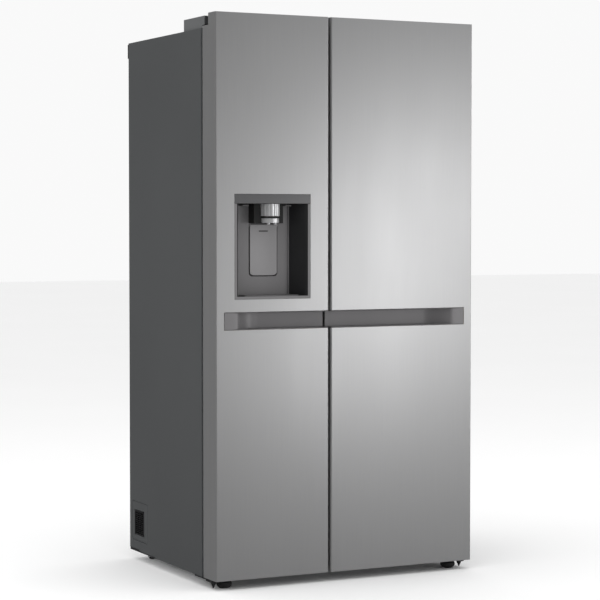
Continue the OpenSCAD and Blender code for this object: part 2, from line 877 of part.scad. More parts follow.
// The two bosses that take the hinge pins
module pin_bosses() {
    h = pin_reach + boss_wall - over;
    translate([pin_x, pin_y, floor_gap]) cylinder(r = boss_r, h = h);
    translate([pin_x, pin_y, door_step_z - h]) cylinder(r = boss_r, h = h);
}

module door_caps(w) {
    x = [-side_x + door_sheet, free_x(w) - door_sheet];
    color(c_grey) difference() {
        union() {
            run_z([floor_gap, floor_gap + cap_t]) door_plan(w, door_t, door_sheet);
            run_z([total_h - cap_t, total_h]) door_plan(w, door_step_d, door_sheet);
            span(x, [at(door_step_d - cap_t), at(door_step_d)], [door_step_z - cap_t, total_h]);
            span(x, [at(door_step_d - cap_t), at(door_t)], [door_step_z - cap_t, door_step_z]);
            pin_bosses();
        }
        translate([pin_x, pin_y, floor_gap - over]) cylinder(r = pin_r + run_fit, h = pin_reach + 2);
        translate([pin_x, pin_y, door_step_z - pin_reach - 1])
            cylinder(r = pin_r + run_fit, h = pin_reach + 2);
    }
}

module door_liner(w, dispenser) {
    rim_x = [cav_x0 + rim_gap, cav_x1(w) - rim_gap];
    rim_z = [cav_z0 + rim_gap, cav_z1 - rim_gap];
    color(c_liner) difference() {
        union() {
            span([-side_x + door_sheet, free_x(w) - door_sheet], [at(door_t - door_liner_t), door_back_y],
                [floor_gap + cap_t, door_step_z - cap_t]);
            run_y([door_back_y - 0.5, door_back_y + rim_d]) flat_frame(rim_x, rim_z, rim_t);
        }
        if (dispenser) ice_tube(0);
    }
}

module door_gasket(w) {
    color(c_grey) run_y([door_back_y, case_front_y - 2 * clear])
        flat_frame([-side_x + pin_side + 2, free_x(w) - door_gap], [case_z0 + 14, case_z1 - 10], gasket_w);
}

// How far a bin's far side is drawn in
swing = 12;

// Plan of a door bin; its far side is drawn in so that it clears the mullion as the door swings
module bin_plan(w, in) {
    x = [cav_x0 + rim_gap + rim_t, cav_x1(w) - rim_gap - rim_t];
    polygon([
        [x[0] + in, door_back_y + in], [x[1] - in, door_back_y + in],
        [x[1] - in, door_back_y + rim_d - in], [x[1] - swing - in, door_back_y + rim_d + swing - in],
        [x[1] - swing - in, door_back_y + bin_d - in], [x[0] + in, door_back_y + bin_d - in]]);
}

module door_bin(w, z0, z1) {
    difference() {
        run_z([z0, z1]) bin_plan(w, 0);
        run_z([z0 + bin_wall, z1 + over]) bin_plan(w, bin_wall);
    }
}

// Plan of the finger pocket: an arc down to the full depth, then flat to the door's free edge
module pocket_plan(w, reach) {
    x_flat = pocket_x0 + pocket_run;
    translate([x_flat, front_y - over]) square([free_x(w) - x_flat + reach, pocket_d + over]);
    intersection() {
        translate([x_flat, at(pocket_d) - pocket_r]) circle(pocket_r, $fn = 128);
        translate([pocket_x0, front_y - over]) square([pocket_run + over, pocket_d + over]);
    }
}

module door_handle(w) {
    bezel = 3;
    color(c_grey) difference() {
        union() {
            span([handle_x0, free_x(w)], [front_y, at(pocket_d + trim_wall)], [handle_z0, handle_z1]);
            grip_block(w);
        }
        run_z([handle_z0 + bezel, handle_z1 - bezel]) pocket_plan(w, over);
        span([pocket_x0 + pocket_run * 0.6, free_x(w) - door_sheet - trim_wall],
            [at(16), at(pocket_d)], [handle_z0 + bezel, handle_z1 + grip_rise - trim_wall]);
    }
}

// ---- dispenser and ice ----

module ice_tube(bore) {
    r = bore == 1 ? nozzle_bore : nozzle_bore + tube_wall;
    reach = 220;
    intersection() {
        translate([nozzle_x, nozzle_y, band_z]) rotate([-ice_angle, 0, 0])
            translate([0, 0, -reach / 2]) cylinder(r = r, h = reach);
        span([nozzle_x - 60, nozzle_x + 60], [front_y + 4, door_back_y + bin_d],
            [band_z - (bore == 1 ? over : 0), ice_z0 + (bore == 1 ? over : 0)]);
    }
}

module recess_plan() {
    hf = disp_w / 2 - disp_rim;
    hb = hf - disp_lean;
    flare = 8;
    polygon([
        [disp_x - hf, front_y - over], [disp_x + hf, front_y - over],
        [disp_x + hf, front_y + 2], [disp_x + hf - flare, at(12)], [disp_x + hb, at(disp_d)],
        [disp_x - hb, at(disp_d)], [disp_x - hf + flare, at(12)], [disp_x - hf, front_y + 2]]);
}

module dispenser_housing() {
    hp = paddle_w / 2 + paddle_gap;
    color(c_grey) difference() {
        span([disp_x - disp_w / 2, disp_x + disp_w / 2], [front_y, at(disp_back)], [disp_z0, disp_z1]);
        run_z([disp_z0 + disp_rim, band_z]) recess_plan();
        span([disp_x - disp_w / 2 - over, disp_x + disp_w / 2 + over], [front_y - over, at(4)],
            [band_z, disp_z1 + over]);
        span([disp_x - hp, disp_x + hp], [at(disp_d) - over, at(disp_d + paddle_room)],
            [paddle_z1 - paddle_h - paddle_gap, paddle_z1 + paddle_gap]);
        rod_x([disp_x - hp - 4, disp_x + hp + 4], paddle_pivot_y, paddle_pivot_z, paddle_pin_r + run_fit);
        ice_tube(0);
    }
}

module dispenser_display() {
    color(c_grey) span([disp_x - disp_w / 2, disp_x + disp_w / 2], [front_y, at(4)], [band_z, disp_z1]);
}

// Black chute block behind the nozzle, its collar, and the tube up to the ice bucket
module dispenser_chute() {
    half = 50;
    color(c_black) difference() {
        union() {
            span([disp_x - half, disp_x + half], [nozzle_y - 4, at(disp_d)], [nozzle_z0 - over, band_z]);
            translate([nozzle_x, nozzle_y, band_z - nozzle_h - ring_h])
                cylinder(r = nozzle_r - 1, h = ring_h);
            ice_tube(0);
        }
        translate([nozzle_x, nozzle_y, band_z - nozzle_h]) cylinder(r = nozzle_r, h = nozzle_h);
        translate([nozzle_x, nozzle_y, nozzle_z0 - 2 * over])
            cylinder(r = nozzle_r - 2, h = lower_ring_h + 2 * over);
        nozzle_hole();
        ice_tube(1);
    }
}

module dispenser_nozzle() {
    color(c_steel) difference() {
        union() {
            translate([nozzle_x, nozzle_y, band_z - nozzle_h]) cylinder(r = nozzle_r, h = nozzle_h);
            translate([nozzle_x, nozzle_y, nozzle_z0]) cylinder(r = nozzle_r - 2, h = lower_ring_h);
        }
        nozzle_hole();
    }
}

module nozzle_hole() {
    translate([nozzle_x, nozzle_y, nozzle_z0 - 2 * over])
        cylinder(r = nozzle_bore, h = band_z - nozzle_z0 + 3 * over);
}

module dispenser_paddle() {
    color(c_grey) {
        span([disp_x - paddle_w / 2, disp_x + paddle_w / 2],
            [paddle_pivot_y - paddle_t / 2, paddle_pivot_y + paddle_t / 2],
            [paddle_z1 - paddle_h, paddle_z1]);
        rod_x([disp_x - paddle_w / 2 - paddle_gap - 3, disp_x + paddle_w / 2 + paddle_gap + 3],
            paddle_pivot_y, paddle_pivot_z, paddle_pin_r);
    }
}

// Width of the ice maker and the auger: as narrow as a bin's outer side
auger_x = [cav_x0 + rim_gap + rim_t, cav_x1(freezer_door_w) - rim_gap - rim_t - swing];

module ice_maker() {
    x = auger_x;
    tray_wall = 4;
    color(c_liner) open_box(x, [door_back_y, door_back_y + bin_d - 20], [maker_z1 - maker_h, maker_z1],
        tray_wall);
}

module ice_bucket() {
    color(c_clear) difference() {
        door_bin(freezer_door_w, ice_z0, bucket_z1);
        rod_x([auger_x[0] - over, auger_x[1] + over + swing], auger_y, auger_z, auger_shaft_r + run_fit);
        ice_tube_mouth();
    }
}

// Hole in the bucket's floor over the ice tube
module ice_tube_mouth() {
    translate([nozzle_x, ice_drop_y, ice_z0 - over]) cylinder(r = nozzle_bore - 2, h = 10);
}

// Shaft with ice-stirring blades set round it
module ice_auger() {
    blades = 8;
    blade = [4, 10];
    margin = 15;
    pitch = (auger_x[1] - auger_x[0] - 2 * margin) / blades;
    color(c_metal) {
        rod_x([auger_x[0], auger_x[1]], auger_y, auger_z, auger_shaft_r);
        for (i = [0 : blades - 1])
            translate([auger_x[0] + margin + (i + 0.5) * pitch, auger_y, auger_z])
                rotate([i * 45, 0, 0]) translate([-blade[0] / 2, -blade[1] / 2, -auger_r])
                    cube([blade[0], blade[1], 2 * auger_r]);
    }
}

// ---- the nodes ----

side_panel();  // left_side_panel
right_side() side_panel();  // right_side_panel
top_panel();
back_panel();
bottom_pan();
compressor_base();
cabinet_insulation();
compartment_liner(freezer_door_w);  // freezer_liner
right_side() compartment_liner(fridge_door_w);  // fridge_liner
mullion_bar();
union() {  // air_ducts
    air_duct(freezer_door_w, duct_gap[0], shelf_count - 1);
    right_side() air_duct(fridge_door_w, duct_gap[1], shelf_count - 1);
}
evaporator();
fan_motors();
evaporator_fan();
compressor();
condenser();
condenser_fan();
drip_pan();
machine_cover();
cord_gland();
both_sides() upper_hinge();  // upper_hinges
both_sides() hinge_cover();  // hinge_covers
both_sides() lower_hinge();  // lower_hinges
both_sides() spacer();  // rear_spacers
roller();  // left_roller
right_side() roller();  // right_roller
foot();  // left_foot
right_side() foot();  // right_foot
color(c_clear) {  // glass_shelves
    shelf_glass(freezer_door_w);
    right_side() shelf_glass(fridge_door_w);
}
color(c_liner) {  // shelf_trims
    shelf_trim(freezer_door_w);
    right_side() shelf_trim(fridge_door_w);
}
color(c_liner) {  // shelf_rails
    shelf_rail(freezer_door_w);
    right_side() shelf_rail(fridge_door_w);
}
color(c_clear) drawer(freezer_door_w, upper_drawer_z, store_back(freezer_door_w) - 5);  // freezer_drawer_upper
color(c_clear) drawer(freezer_door_w, lower_drawer_z, slope_y - 5);  // freezer_drawer_lower
color(c_clear) right_side() drawer(fridge_door_w, upper_drawer_z, store_back(fridge_door_w) - 5);  // crisper_upper
color(c_clear) right_side() drawer(fridge_door_w, lower_drawer_z, slope_y - 5);  // crisper_lower
color("white") {  // ceiling_lamps
    ceiling_lamp(freezer_door_w);
    right_side() ceiling_lamp(fridge_door_w);
}
both_sides() side_vent();  // side_vents
screws();
door_skin(freezer_door_w, true);  // freezer_door_skin
door_foam(freezer_door_w, true);  // freezer_door_foam
door_liner(freezer_door_w, true);  // freezer_door_liner
door_caps(freezer_door_w);  // freezer_door_caps
door_handle(freezer_door_w);  // freezer_door_handle
door_gasket(freezer_door_w);  // freezer_door_gasket
color(c_clear)  // freezer_door_bins
    for (z = [drawer_zone + bin_lift, drawer_zone + bin_lift + freezer_bin_pitch])
        door_bin(freezer_door_w, z, z + bin_h);
dispenser_housing();
dispenser_display();
dispenser_chute();
dispenser_nozzle();
dispenser_paddle();
ice_maker();
ice_bucket();
ice_auger();
right_side() door_skin(fridge_door_w, false);  // fridge_door_skin
right_side() door_foam(fridge_door_w, false);  // fridge_door_foam
right_side() door_liner(fridge_door_w, false);  // fridge_door_liner
right_side() door_caps(fridge_door_w);  // fridge_door_caps
right_side() door_handle(fridge_door_w);  // fridge_door_handle
right_side() door_gasket(fridge_door_w);  // fridge_door_gasket
color(c_clear) right_side()  // fridge_door_bins
    for (i = [1 : shelf_count])
        door_bin(fridge_door_w, shelf_z(i) + bin_lift, shelf_z(i) + bin_lift + bin_h);
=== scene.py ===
# %% [markdown]
# A side by side refrigerator: a narrow freezer with an ice dispenser on the left, a wide fridge on the right.
# The CAD model is loaded first as a fixed frame. Everything below is placed by asking that frame where its
# nodes are, so no piece has to be fitted by eye. The frame's own box is kept.

# %% Load the frame
import math

import bmesh
import bpy
from mathutils import Matrix, Vector
from mathutils.geometry import tessellate_polygon


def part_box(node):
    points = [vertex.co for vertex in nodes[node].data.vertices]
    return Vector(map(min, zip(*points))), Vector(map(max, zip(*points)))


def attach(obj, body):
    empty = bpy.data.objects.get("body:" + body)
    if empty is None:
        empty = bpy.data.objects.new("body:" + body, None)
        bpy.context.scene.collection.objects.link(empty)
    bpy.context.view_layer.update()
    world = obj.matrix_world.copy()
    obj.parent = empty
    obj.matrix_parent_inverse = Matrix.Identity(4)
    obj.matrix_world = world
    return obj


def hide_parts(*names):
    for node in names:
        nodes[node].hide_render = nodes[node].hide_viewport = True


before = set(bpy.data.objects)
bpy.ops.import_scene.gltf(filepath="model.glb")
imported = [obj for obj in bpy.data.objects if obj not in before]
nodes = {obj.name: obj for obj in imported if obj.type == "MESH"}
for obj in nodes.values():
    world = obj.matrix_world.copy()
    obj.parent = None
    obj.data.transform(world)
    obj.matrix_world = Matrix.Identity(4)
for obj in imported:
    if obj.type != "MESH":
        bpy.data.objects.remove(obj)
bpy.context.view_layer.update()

# %% [markdown]
# The camera stands to the left of the object, at chest height, far away behind a long lens, so that upright
# edges stay nearly parallel. A long lens is chosen because it keeps a tall appliance free of the leaning
# edges that a short one gives.

# %% Camera
lens = bpy.data.cameras.new("studio_camera")
lens.lens = 119.65
lens.clip_end = 200
camera = bpy.data.objects.new("studio_camera", lens)
camera.location = (-2.964, -5.883, 1.133)
camera.rotation_euler = (math.radians(87.75), 0, math.radians(-26.83))
bpy.context.scene.collection.objects.link(camera)
bpy.context.scene.camera = camera
bpy.context.scene.view_settings.view_transform = "Standard"
print("camera lens", lens.lens, "mm")

# %% [markdown]
# Satin metal shows what stands around it, so the light is a picture in its own right. One narrow soft box on
# the right is what the doors mirror towards the camera, and a second beside it picks out rounded edges. A weak
# one on the left lifts the painted side, and one overhead lights the floor. The world is white where it is seen
# and dim where it is mirrored, as a white room would be with its far walls in shade.

# %% Lights
def soft_box(name, place, target, size, watts, lean=0):
    data = bpy.data.lights.new(name, "AREA")
    data.shape = "RECTANGLE"
    data.size, data.size_y = size
    data.energy = watts
    lamp = bpy.data.objects.new(name, data)
    lamp.location = place
    facing = (Vector(target) - Vector(place)).to_track_quat("-Z", "Y").to_matrix()
    lamp.rotation_euler = (facing @ Matrix.Rotation(math.radians(lean), 3, "Z")).to_euler()
    bpy.context.scene.collection.objects.link(lamp)
    return lamp


soft_box("key_box", (3.50, -6.3, 0.90), (0.2, -0.4, 1.0), (0.3, 1.9), 21.5, -22)
left_box = soft_box("left_box", (-3.6, 0.1, 1.55), (-0.4, 0.0, 1.25), (1.2, 1.2), 26)
left_box.visible_glossy = False
soft_box("right_box", (4.6, -3.3, 1.0), (-0.2, -0.3, 0.9), (0.9, 2.0), 26)
soft_box("top_box", (0.0, -1.0, 5.0), (0.0, 0.0, 0.0), (5.0, 5.0), 60)


def studio_world(seen, mirrored):
    world = bpy.data.worlds.new("studio")
    world.use_nodes = True
    tree = world.node_tree
    tree.nodes.clear()
    rays = tree.nodes.new("ShaderNodeLightPath")
    mix = tree.nodes.new("ShaderNodeMixShader")
    out = tree.nodes.new("ShaderNodeOutputWorld")
    for socket, level in ((1, seen), (2, mirrored)):
        sky = tree.nodes.new("ShaderNodeBackground")
        sky.inputs["Color"].default_value = (level, level, level, 1)
        tree.links.new(sky.outputs[0], mix.inputs[socket])
    direct = tree.nodes.new("ShaderNodeMath")
    direct.operation = "SUBTRACT"
    direct.use_clamp = True
    tree.links.new(rays.outputs["Is Glossy Ray"], direct.inputs[0])
    tree.links.new(rays.outputs["Is Transmission Ray"], direct.inputs[1])
    tree.links.new(direct.outputs[0], mix.inputs[0])
    tree.links.new(mix.outputs[0], out.inputs["Surface"])
    bpy.context.scene.world = world


studio_world(0.95, 0.09)

# %% [markdown]
# Shader maths reads best as plain sums. Value wraps one socket, and its operators add Math nodes. Finish owns
# one material and has a single method that adds any node. Sizes in a finish are read from Object coordinates,
# in metres, and every piece sits at the origin, so a grain has the same scale on each of them.

# %% Shader helpers
class Value:
    def __init__(self, finish, socket):
        self.finish, self.socket = finish, socket

    def sum(self, operation, first, second):
        node = self.finish.add("ShaderNodeMath", {"operation": operation}, {0: first, 1: second})
        return Value(self.finish, node.outputs[0])

    def __add__(self, other): return self.sum("ADD", self, other)
    def __radd__(self, other): return self.sum("ADD", other, self)
    def __sub__(self, other): return self.sum("SUBTRACT", self, other)
    def __rsub__(self, other): return self.sum("SUBTRACT", other, self)
    def __mul__(self, other): return self.sum("MULTIPLY", self, other)
    def __rmul__(self, other): return self.sum("MULTIPLY", other, self)
    def __pow__(self, other): return self.sum("POWER", self, other)


class Finish:
    def __init__(self, name, **constants):
        self.material = bpy.data.materials.new(name)
        self.material.use_nodes = True
        self.tree = self.material.node_tree
        self.shader = self.tree.nodes["Principled BSDF"]
        self.place = self.add("ShaderNodeTexCoord").outputs["Object"]
        for socket, value in constants.items():
            self.feed(self.shader.inputs[socket.replace("_", " ")], value)

    def feed(self, socket, value):
        if isinstance(value, Value):
            value = value.socket
        if isinstance(value, bpy.types.NodeSocket):
            self.tree.links.new(value, socket)
        else:
            socket.default_value = value

    def add(self, kind, settings=None, inputs=None):
        node = self.tree.nodes.new(kind)
        for key, value in (settings or {}).items():
            if key == "stops":
                for element, (place, colour) in zip(node.color_ramp.elements, value):
                    element.position, element.color = place, colour
            else:
                setattr(node, key, value)
        for key, value in (inputs or {}).items():
            self.feed(node.inputs[key], value)
        return node

    def noise(self, scale, detail=2.0, stretch=(1, 1, 1)):
        place = self.add("ShaderNodeMapping", None, {"Vector": self.place, "Scale": stretch})
        node = self.add("ShaderNodeTexNoise", None,
                        {"Vector": place.outputs[0], "Scale": scale, "Detail": detail})
        return Value(self, node.outputs["Fac"])

    def cells(self, scale, feature="F1", output="Distance"):
        node = self.add("ShaderNodeTexVoronoi", {"feature": feature},
                        {"Vector": self.place, "Scale": scale})
        return Value(self, node.outputs[output])

    def colours(self, factor, first, second):
        node = self.add("ShaderNodeMix", {"data_type": "RGBA"},
                        {"Factor": factor, "A": (*first, 1), "B": (*second, 1)})
        self.feed(self.shader.inputs["Base Color"], node.outputs["Result"])

    def relief(self, height, strength, distance):
        node = self.add("ShaderNodeBump", None,
                        {"Height": height, "Strength": strength, "Distance": distance})
        self.feed(self.shader.inputs["Normal"], node.outputs[0])

    def rough(self, value):
        self.feed(self.shader.inputs["Roughness"], value)


print("shader helpers ready")

# %% [markdown]
# Real parts have no perfectly sharp edges: sheet is folded, plastic is moulded with a radius, and each edge
# catches a thin line of light. Piece collects rounded blocks, turned shapes, bent tubes and copies of CAD
# nodes into one mesh, rounds what is still sharp, and weights the normals by face area, so that broad faces
# stay flat beside their rounded edges. The result is a plain mesh at the origin.

# %% Mesh helpers
def plain_mesh(piece):
    """Applies a piece's modifiers and leaves a plain mesh at the origin."""
    ready = piece.evaluated_get(bpy.context.evaluated_depsgraph_get())
    mesh = bpy.data.meshes.new_from_object(ready)
    piece.modifiers.clear()
    piece.data = mesh
    mesh.name = piece.name
    return piece


class Piece:
    def __init__(self, name):
        self.name, self.bm, self.finishes = name, bmesh.new(), []

    def take(self, part, finish, move=None):
        if finish not in self.finishes:
            self.finishes.append(finish)
        if move:
            bmesh.ops.transform(part, matrix=move, verts=part.verts)
        for face in part.faces:
            face.material_index = self.finishes.index(finish)
            face.smooth = True
        mesh = bpy.data.meshes.new("part")
        part.to_mesh(mesh)
        part.free()
        self.bm.from_mesh(mesh)
        bpy.data.meshes.remove(mesh)
        return self

    def block(self, x, y, z, finish, edge=0.001, steps=2, move=None):
        part = bmesh.new()
        bmesh.ops.create_cube(part, size=1)
        size = (x[1] - x[0], y[1] - y[0], z[1] - z[0])
        bmesh.ops.scale(part, vec=size, verts=part.verts)
        bmesh.ops.translate(part, vec=((x[0] + x[1]) / 2, (y[0] + y[1]) / 2, (z[0] + z[1]) / 2),
                            verts=part.verts)
        if edge:
            bmesh.ops.bevel(part, geom=part.edges[:], offset=min(edge, min(size) * 0.49), segments=steps,
                            affect="EDGES", profile=0.5)
        return self.take(part, finish, move)

    def prism(self, outline, axis, ends, finish, edge=0.0, steps=2, move=None):
        """A flat outline, drawn in the two other axes, run along one axis."""
        part = bmesh.new()
        others = [i for i in range(3) if i != axis]
        rings = []
        for end in ends:
            ring = []
            for point in outline:
                place = [0, 0, 0]
                place[others[0]], place[others[1]], place[axis] = point[0], point[1], end
                ring.append(part.verts.new(place))
            rings.append(ring)
        count = len(outline)
        part.faces.new(rings[0])
        part.faces.new(rings[1])
        for i in range(count):
            part.faces.new((rings[0][i], rings[0][(i + 1) % count], rings[1][(i + 1) % count], rings[1][i]))
        bmesh.ops.recalc_face_normals(part, faces=part.faces)
        if edge:
            sharp = [e for e in part.edges if e.calc_face_angle(0) > math.radians(40)]
            bmesh.ops.bevel(part, geom=sharp, offset=edge, segments=steps, affect="EDGES", profile=0.5)
        return self.take(part, finish, move)

    def lathe(self, profile, centre, axis, finish, steps=48):
        """A profile of (radius, height) pairs turned about an axis through a centre."""
        part = bmesh.new()
        turned = []
        for k in range(steps):
            angle = 2 * math.pi * k / steps
            turned.append([part.verts.new((r * math.cos(angle), r * math.sin(angle), h)) for r, h in profile])
        for k in range(steps):
            a, b = turned[k], turned[(k + 1) % steps]
            for i in range(len(profile) - 1):
                part.faces.new((a[i], b[i], b[i + 1], a[i + 1]))
        bmesh.ops.remove_doubles(part, verts=part.verts, dist=1e-6)
        bmesh.ops.recalc_face_normals(part, faces=part.faces)
        turn = (Matrix.Rotation(math.radians(90), 4, "Y"), Matrix.Rotation(math.radians(-90), 4, "X"),
                Matrix.Identity(4))[axis]
        return self.take(part, finish, Matrix.Translation(centre) @ turn)

    def tube(self, path, radius, finish, sides=12):
        """A round wire along points, with closed ends."""
        part = bmesh.new()
        points = [Vector(p) for p in path]
        rings = []
        up = Vector((0.0, 0.0, 1.0))
        for i, point in enumerate(points):
            ahead = (points[min(i + 1, len(points) - 1)] - points[max(i - 1, 0)]).normalized()
            side = ahead.cross(up)
            side = side.normalized() if side.length > 0.05 else ahead.cross(Vector((0, 1, 0))).normalized()
            lift = side.cross(ahead)
            rings.append([part.verts.new(point + radius * (math.cos(t) * side + math.sin(t) * lift))
                          for t in (2 * math.pi * k / sides for k in range(sides))])
        for a, b in zip(rings, rings[1:]):
            for k in range(sides):
                part.faces.new((a[k], a[(k + 1) % sides], b[(k + 1) % sides], b[k]))
        part.faces.new(rings[0])
        part.faces.new(rings[-1])
        bmesh.ops.recalc_face_normals(part, faces=part.faces)
        return self.take(part, finish)

    def cad(self, node, finish, edge=0.0006, steps=2, angle=38, choose=None, other=None):
        """A copy of a CAD node with its edges rounded; choose picks the faces that get the other finish."""
        copy = bpy.data.objects.new("copy", nodes[node].data.copy())
        bpy.context.scene.collection.objects.link(copy)
        part = bmesh.new()
        part.from_mesh(copy.data)
        bmesh.ops.remove_doubles(part, verts=part.verts, dist=1e-5)
        bmesh.ops.dissolve_limit(part, angle_limit=math.radians(0.5), verts=part.verts, edges=part.edges)
        part.to_mesh(copy.data)
        part.free()
        if edge:
            bevel = copy.modifiers.new("edges", "BEVEL")
            bevel.width, bevel.segments, bevel.limit_method = edge, steps, "ANGLE"
            bevel.angle_limit = math.radians(angle)
            bevel.use_clamp_overlap = True
            plain_mesh(copy)
        part = bmesh.new()
        part.from_mesh(copy.data)
        bpy.data.objects.remove(copy)
        for item in (finish, other):
            if item and item not in self.finishes:
                self.finishes.append(item)
        for face in part.faces:
            picked = choose is not None and choose(face)
            face.material_index = self.finishes.index(other if picked else finish)
            face.smooth = True
        mesh = bpy.data.meshes.new("part")
        part.to_mesh(mesh)
        part.free()
        self.bm.from_mesh(mesh)
        bpy.data.meshes.remove(mesh)
        return self

    def done(self, body, slot, *replaced, sharp=50):
        many = [face for face in self.bm.faces if len(face.verts) > 4]
        bmesh.ops.triangulate(self.bm, faces=many)
        mesh = bpy.data.meshes.new(self.name)
        self.bm.to_mesh(mesh)
        self.bm.free()
        for finish in self.finishes:
            mesh.materials.append(finish.material)
        mesh.set_sharp_from_angle(angle=math.radians(sharp))
        piece = bpy.data.objects.new(self.name, mesh)
        bpy.context.scene.collection.objects.link(piece)
        weight = piece.modifiers.new("flat faces", "WEIGHTED_NORMAL")
        weight.keep_sharp = True
        weight.weight = 100
        plain_mesh(piece)
        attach(piece, body)
        if replaced:
            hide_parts(*replaced)
        print(self.name, len(piece.data.polygons), "faces on", body)
        return piece


def mid(node):
    low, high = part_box(node)
    return (low + high) / 2


print("mesh helpers ready")

# %% [markdown]
# Slats, fins, bars and screws repeat by a rule, so Geometry Nodes place them. Rule builds a tree with named
# inputs, sets them by their identifiers before the tree is first evaluated, and turns the result into a
# plain mesh.

# %% Geometry Nodes helper
class Rule:
    def __init__(self, name):
        self.tree = bpy.data.node_groups.new(name, "GeometryNodeTree")
        self.tree.interface.new_socket("Geometry", in_out="OUTPUT", socket_type="NodeSocketGeometry")
        self.entry = self.tree.nodes.new("NodeGroupInput")
        self.sockets = {}

    def input(self, name, kind="NodeSocketFloat"):
        self.sockets[name] = self.tree.interface.new_socket(name, in_out="INPUT", socket_type=kind)
        return self.entry.outputs[name]

    def add(self, kind, settings=None, inputs=None):
        node = self.tree.nodes.new(kind)
        for key, value in (settings or {}).items():
            setattr(node, key, value)
        for key, value in (inputs or {}).items():
            if isinstance(value, bpy.types.NodeSocket):
                self.tree.links.new(value, node.inputs[key])
            else:
                node.inputs[key].default_value = value
        return node

    def close(self, geometry):
        real = self.add("GeometryNodeRealizeInstances", None, {"Geometry": geometry})
        finish = self.input("Finish", "NodeSocketMaterial")
        painted = self.add("GeometryNodeSetMaterial", None, {"Geometry": real.outputs[0], "Material": finish})
        out = self.tree.nodes.new("NodeGroupOutput")
        self.tree.links.new(painted.outputs[0], out.inputs[0])

    def make(self, name, mesh=None, **values):
        piece = bpy.data.objects.new(name, mesh or bpy.data.meshes.new(name))
        bpy.context.scene.collection.objects.link(piece)
        modifier = piece.modifiers.new("rule", "NODES")
        modifier.node_group = self.tree
        for label, value in values.items():
            modifier[self.sockets[label].identifier] = value
        return plain_mesh(piece)

    def into(self, target, finish, mesh=None, **values):
        """Makes the rule's mesh and adds it to a Piece."""
        piece = self.make("rule", mesh, Finish=finish.material, **values)
        part = bmesh.new()
        part.from_mesh(piece.data)
        bpy.data.objects.remove(piece)
        target.take(part, finish)
        return target


def bar_rule():
    """Rounded bars in a row: one bar along X, tilted, then repeated by a step."""
    rule = Rule("bars_in_a_row")
    length = rule.input("Length")
    width, height = rule.input("Width"), rule.input("Height")
    rounding = rule.input("Rounding")
    count = rule.input("Count", "NodeSocketInt")
    start, step = rule.input("Start", "NodeSocketVector"), rule.input("Step", "NodeSocketVector")
    turn = rule.input("Turn", "NodeSocketVector")
    section = rule.add("GeometryNodeCurvePrimitiveQuadrilateral", {"mode": "RECTANGLE"},
                       {"Width": width, "Height": height})
    soft = rule.add("GeometryNodeFilletCurve", None, {"Curve": section.outputs[0], "Radius": rounding})
    if "Mode" in soft.inputs:
        soft.inputs["Mode"].default_value = "Poly"
    else:
        soft.mode = "POLY"
    soft.inputs["Count"].default_value = 2
    half = rule.add("ShaderNodeMath", {"operation": "MULTIPLY"}, {0: length, 1: 0.5})
    minus = rule.add("ShaderNodeMath", {"operation": "MULTIPLY"}, {0: length, 1: -0.5})
    ends = [rule.add("ShaderNodeCombineXYZ", None, {"X": h.outputs[0]}).outputs[0] for h in (minus, half)]
    spine = rule.add("GeometryNodeCurvePrimitiveLine", {"mode": "POINTS"}, {"Start": ends[0], "End": ends[1]})
    bar = rule.add("GeometryNodeCurveToMesh", None,
                   {"Curve": spine.outputs[0], "Profile Curve": soft.outputs[0], "Fill Caps": True})
    row = rule.add("GeometryNodeMeshLine", {"mode": "OFFSET"},
                   {"Count": count, "Start Location": start, "Offset": step})
    angle = rule.add("FunctionNodeEulerToRotation", None, {"Euler": turn})
    bars = rule.add("GeometryNodeInstanceOnPoints", None,
                    {"Points": row.outputs[0], "Instance": bar.outputs[0], "Rotation": angle.outputs[0]})
    rule.close(bars.outputs[0])
    return rule


bars = bar_rule()
print("rule ready:", bars.tree.name, [s for s in bars.sockets])

# %% [markdown]
# The doors are steel sheet with a satin silver coating. It is smooth, with hair-fine upright lines and a few
# faint wiped streaks that only show in the gloss. A stretched noise gives the lines, and a broad one varies
# the roughness a little, because a real coated door is never evenly clean.

# %% Satin door steel
def satin_steel():
    finish = Finish("satin_silver_steel", Metallic=0.82, Specular_IOR_Level=0.5)
    hairs = finish.noise(420, 3, (1, 1, 0.012))
    cloud = finish.noise(2.2, 3)
    streaks = finish.noise(9, 2, (1, 1, 0.15))
    finish.colours(hairs * 0.5 + cloud * 0.3, (0.52, 0.52, 0.525), (0.60, 0.60, 0.603))
    finish.rough(0.25 + 0.04 * hairs + 0.04 * cloud + 0.03 * streaks)
    finish.relief(hairs, 0.035, 0.0004)
    return finish


steel = satin_steel()

# %% [markdown]
# The case is pre-painted sheet in dark grey. Its paint has a fine stipple, which breaks up reflections and
# makes the sides look matt. Cells about a millimetre wide make the stipple, with a softer noise over them.

# %% Textured case paint
def case_paint(name, dark, light, scale):
    finish = Finish(name, Metallic=0.15)
    stipple = finish.cells(scale)
    grain = finish.noise(scale * 0.6, 3)
    cloud = finish.noise(1.7, 2)
    finish.colours(grain * 0.5 + cloud * 0.5, dark, light)
    finish.rough(0.50 + 0.10 * grain - 0.05 * cloud)
    finish.relief(stipple + grain, 0.10, 0.0005)
    return finish


paint = case_paint("dark_grey_case_paint", (0.066, 0.069, 0.071), (0.092, 0.096, 0.098), 900)

# %% [markdown]
# Moulded plastic takes its surface from the mould: a spark-eroded grain, finer on trims, coarser on hidden
# parts. One function makes them all, and its arguments are the colour, gloss and grain size.

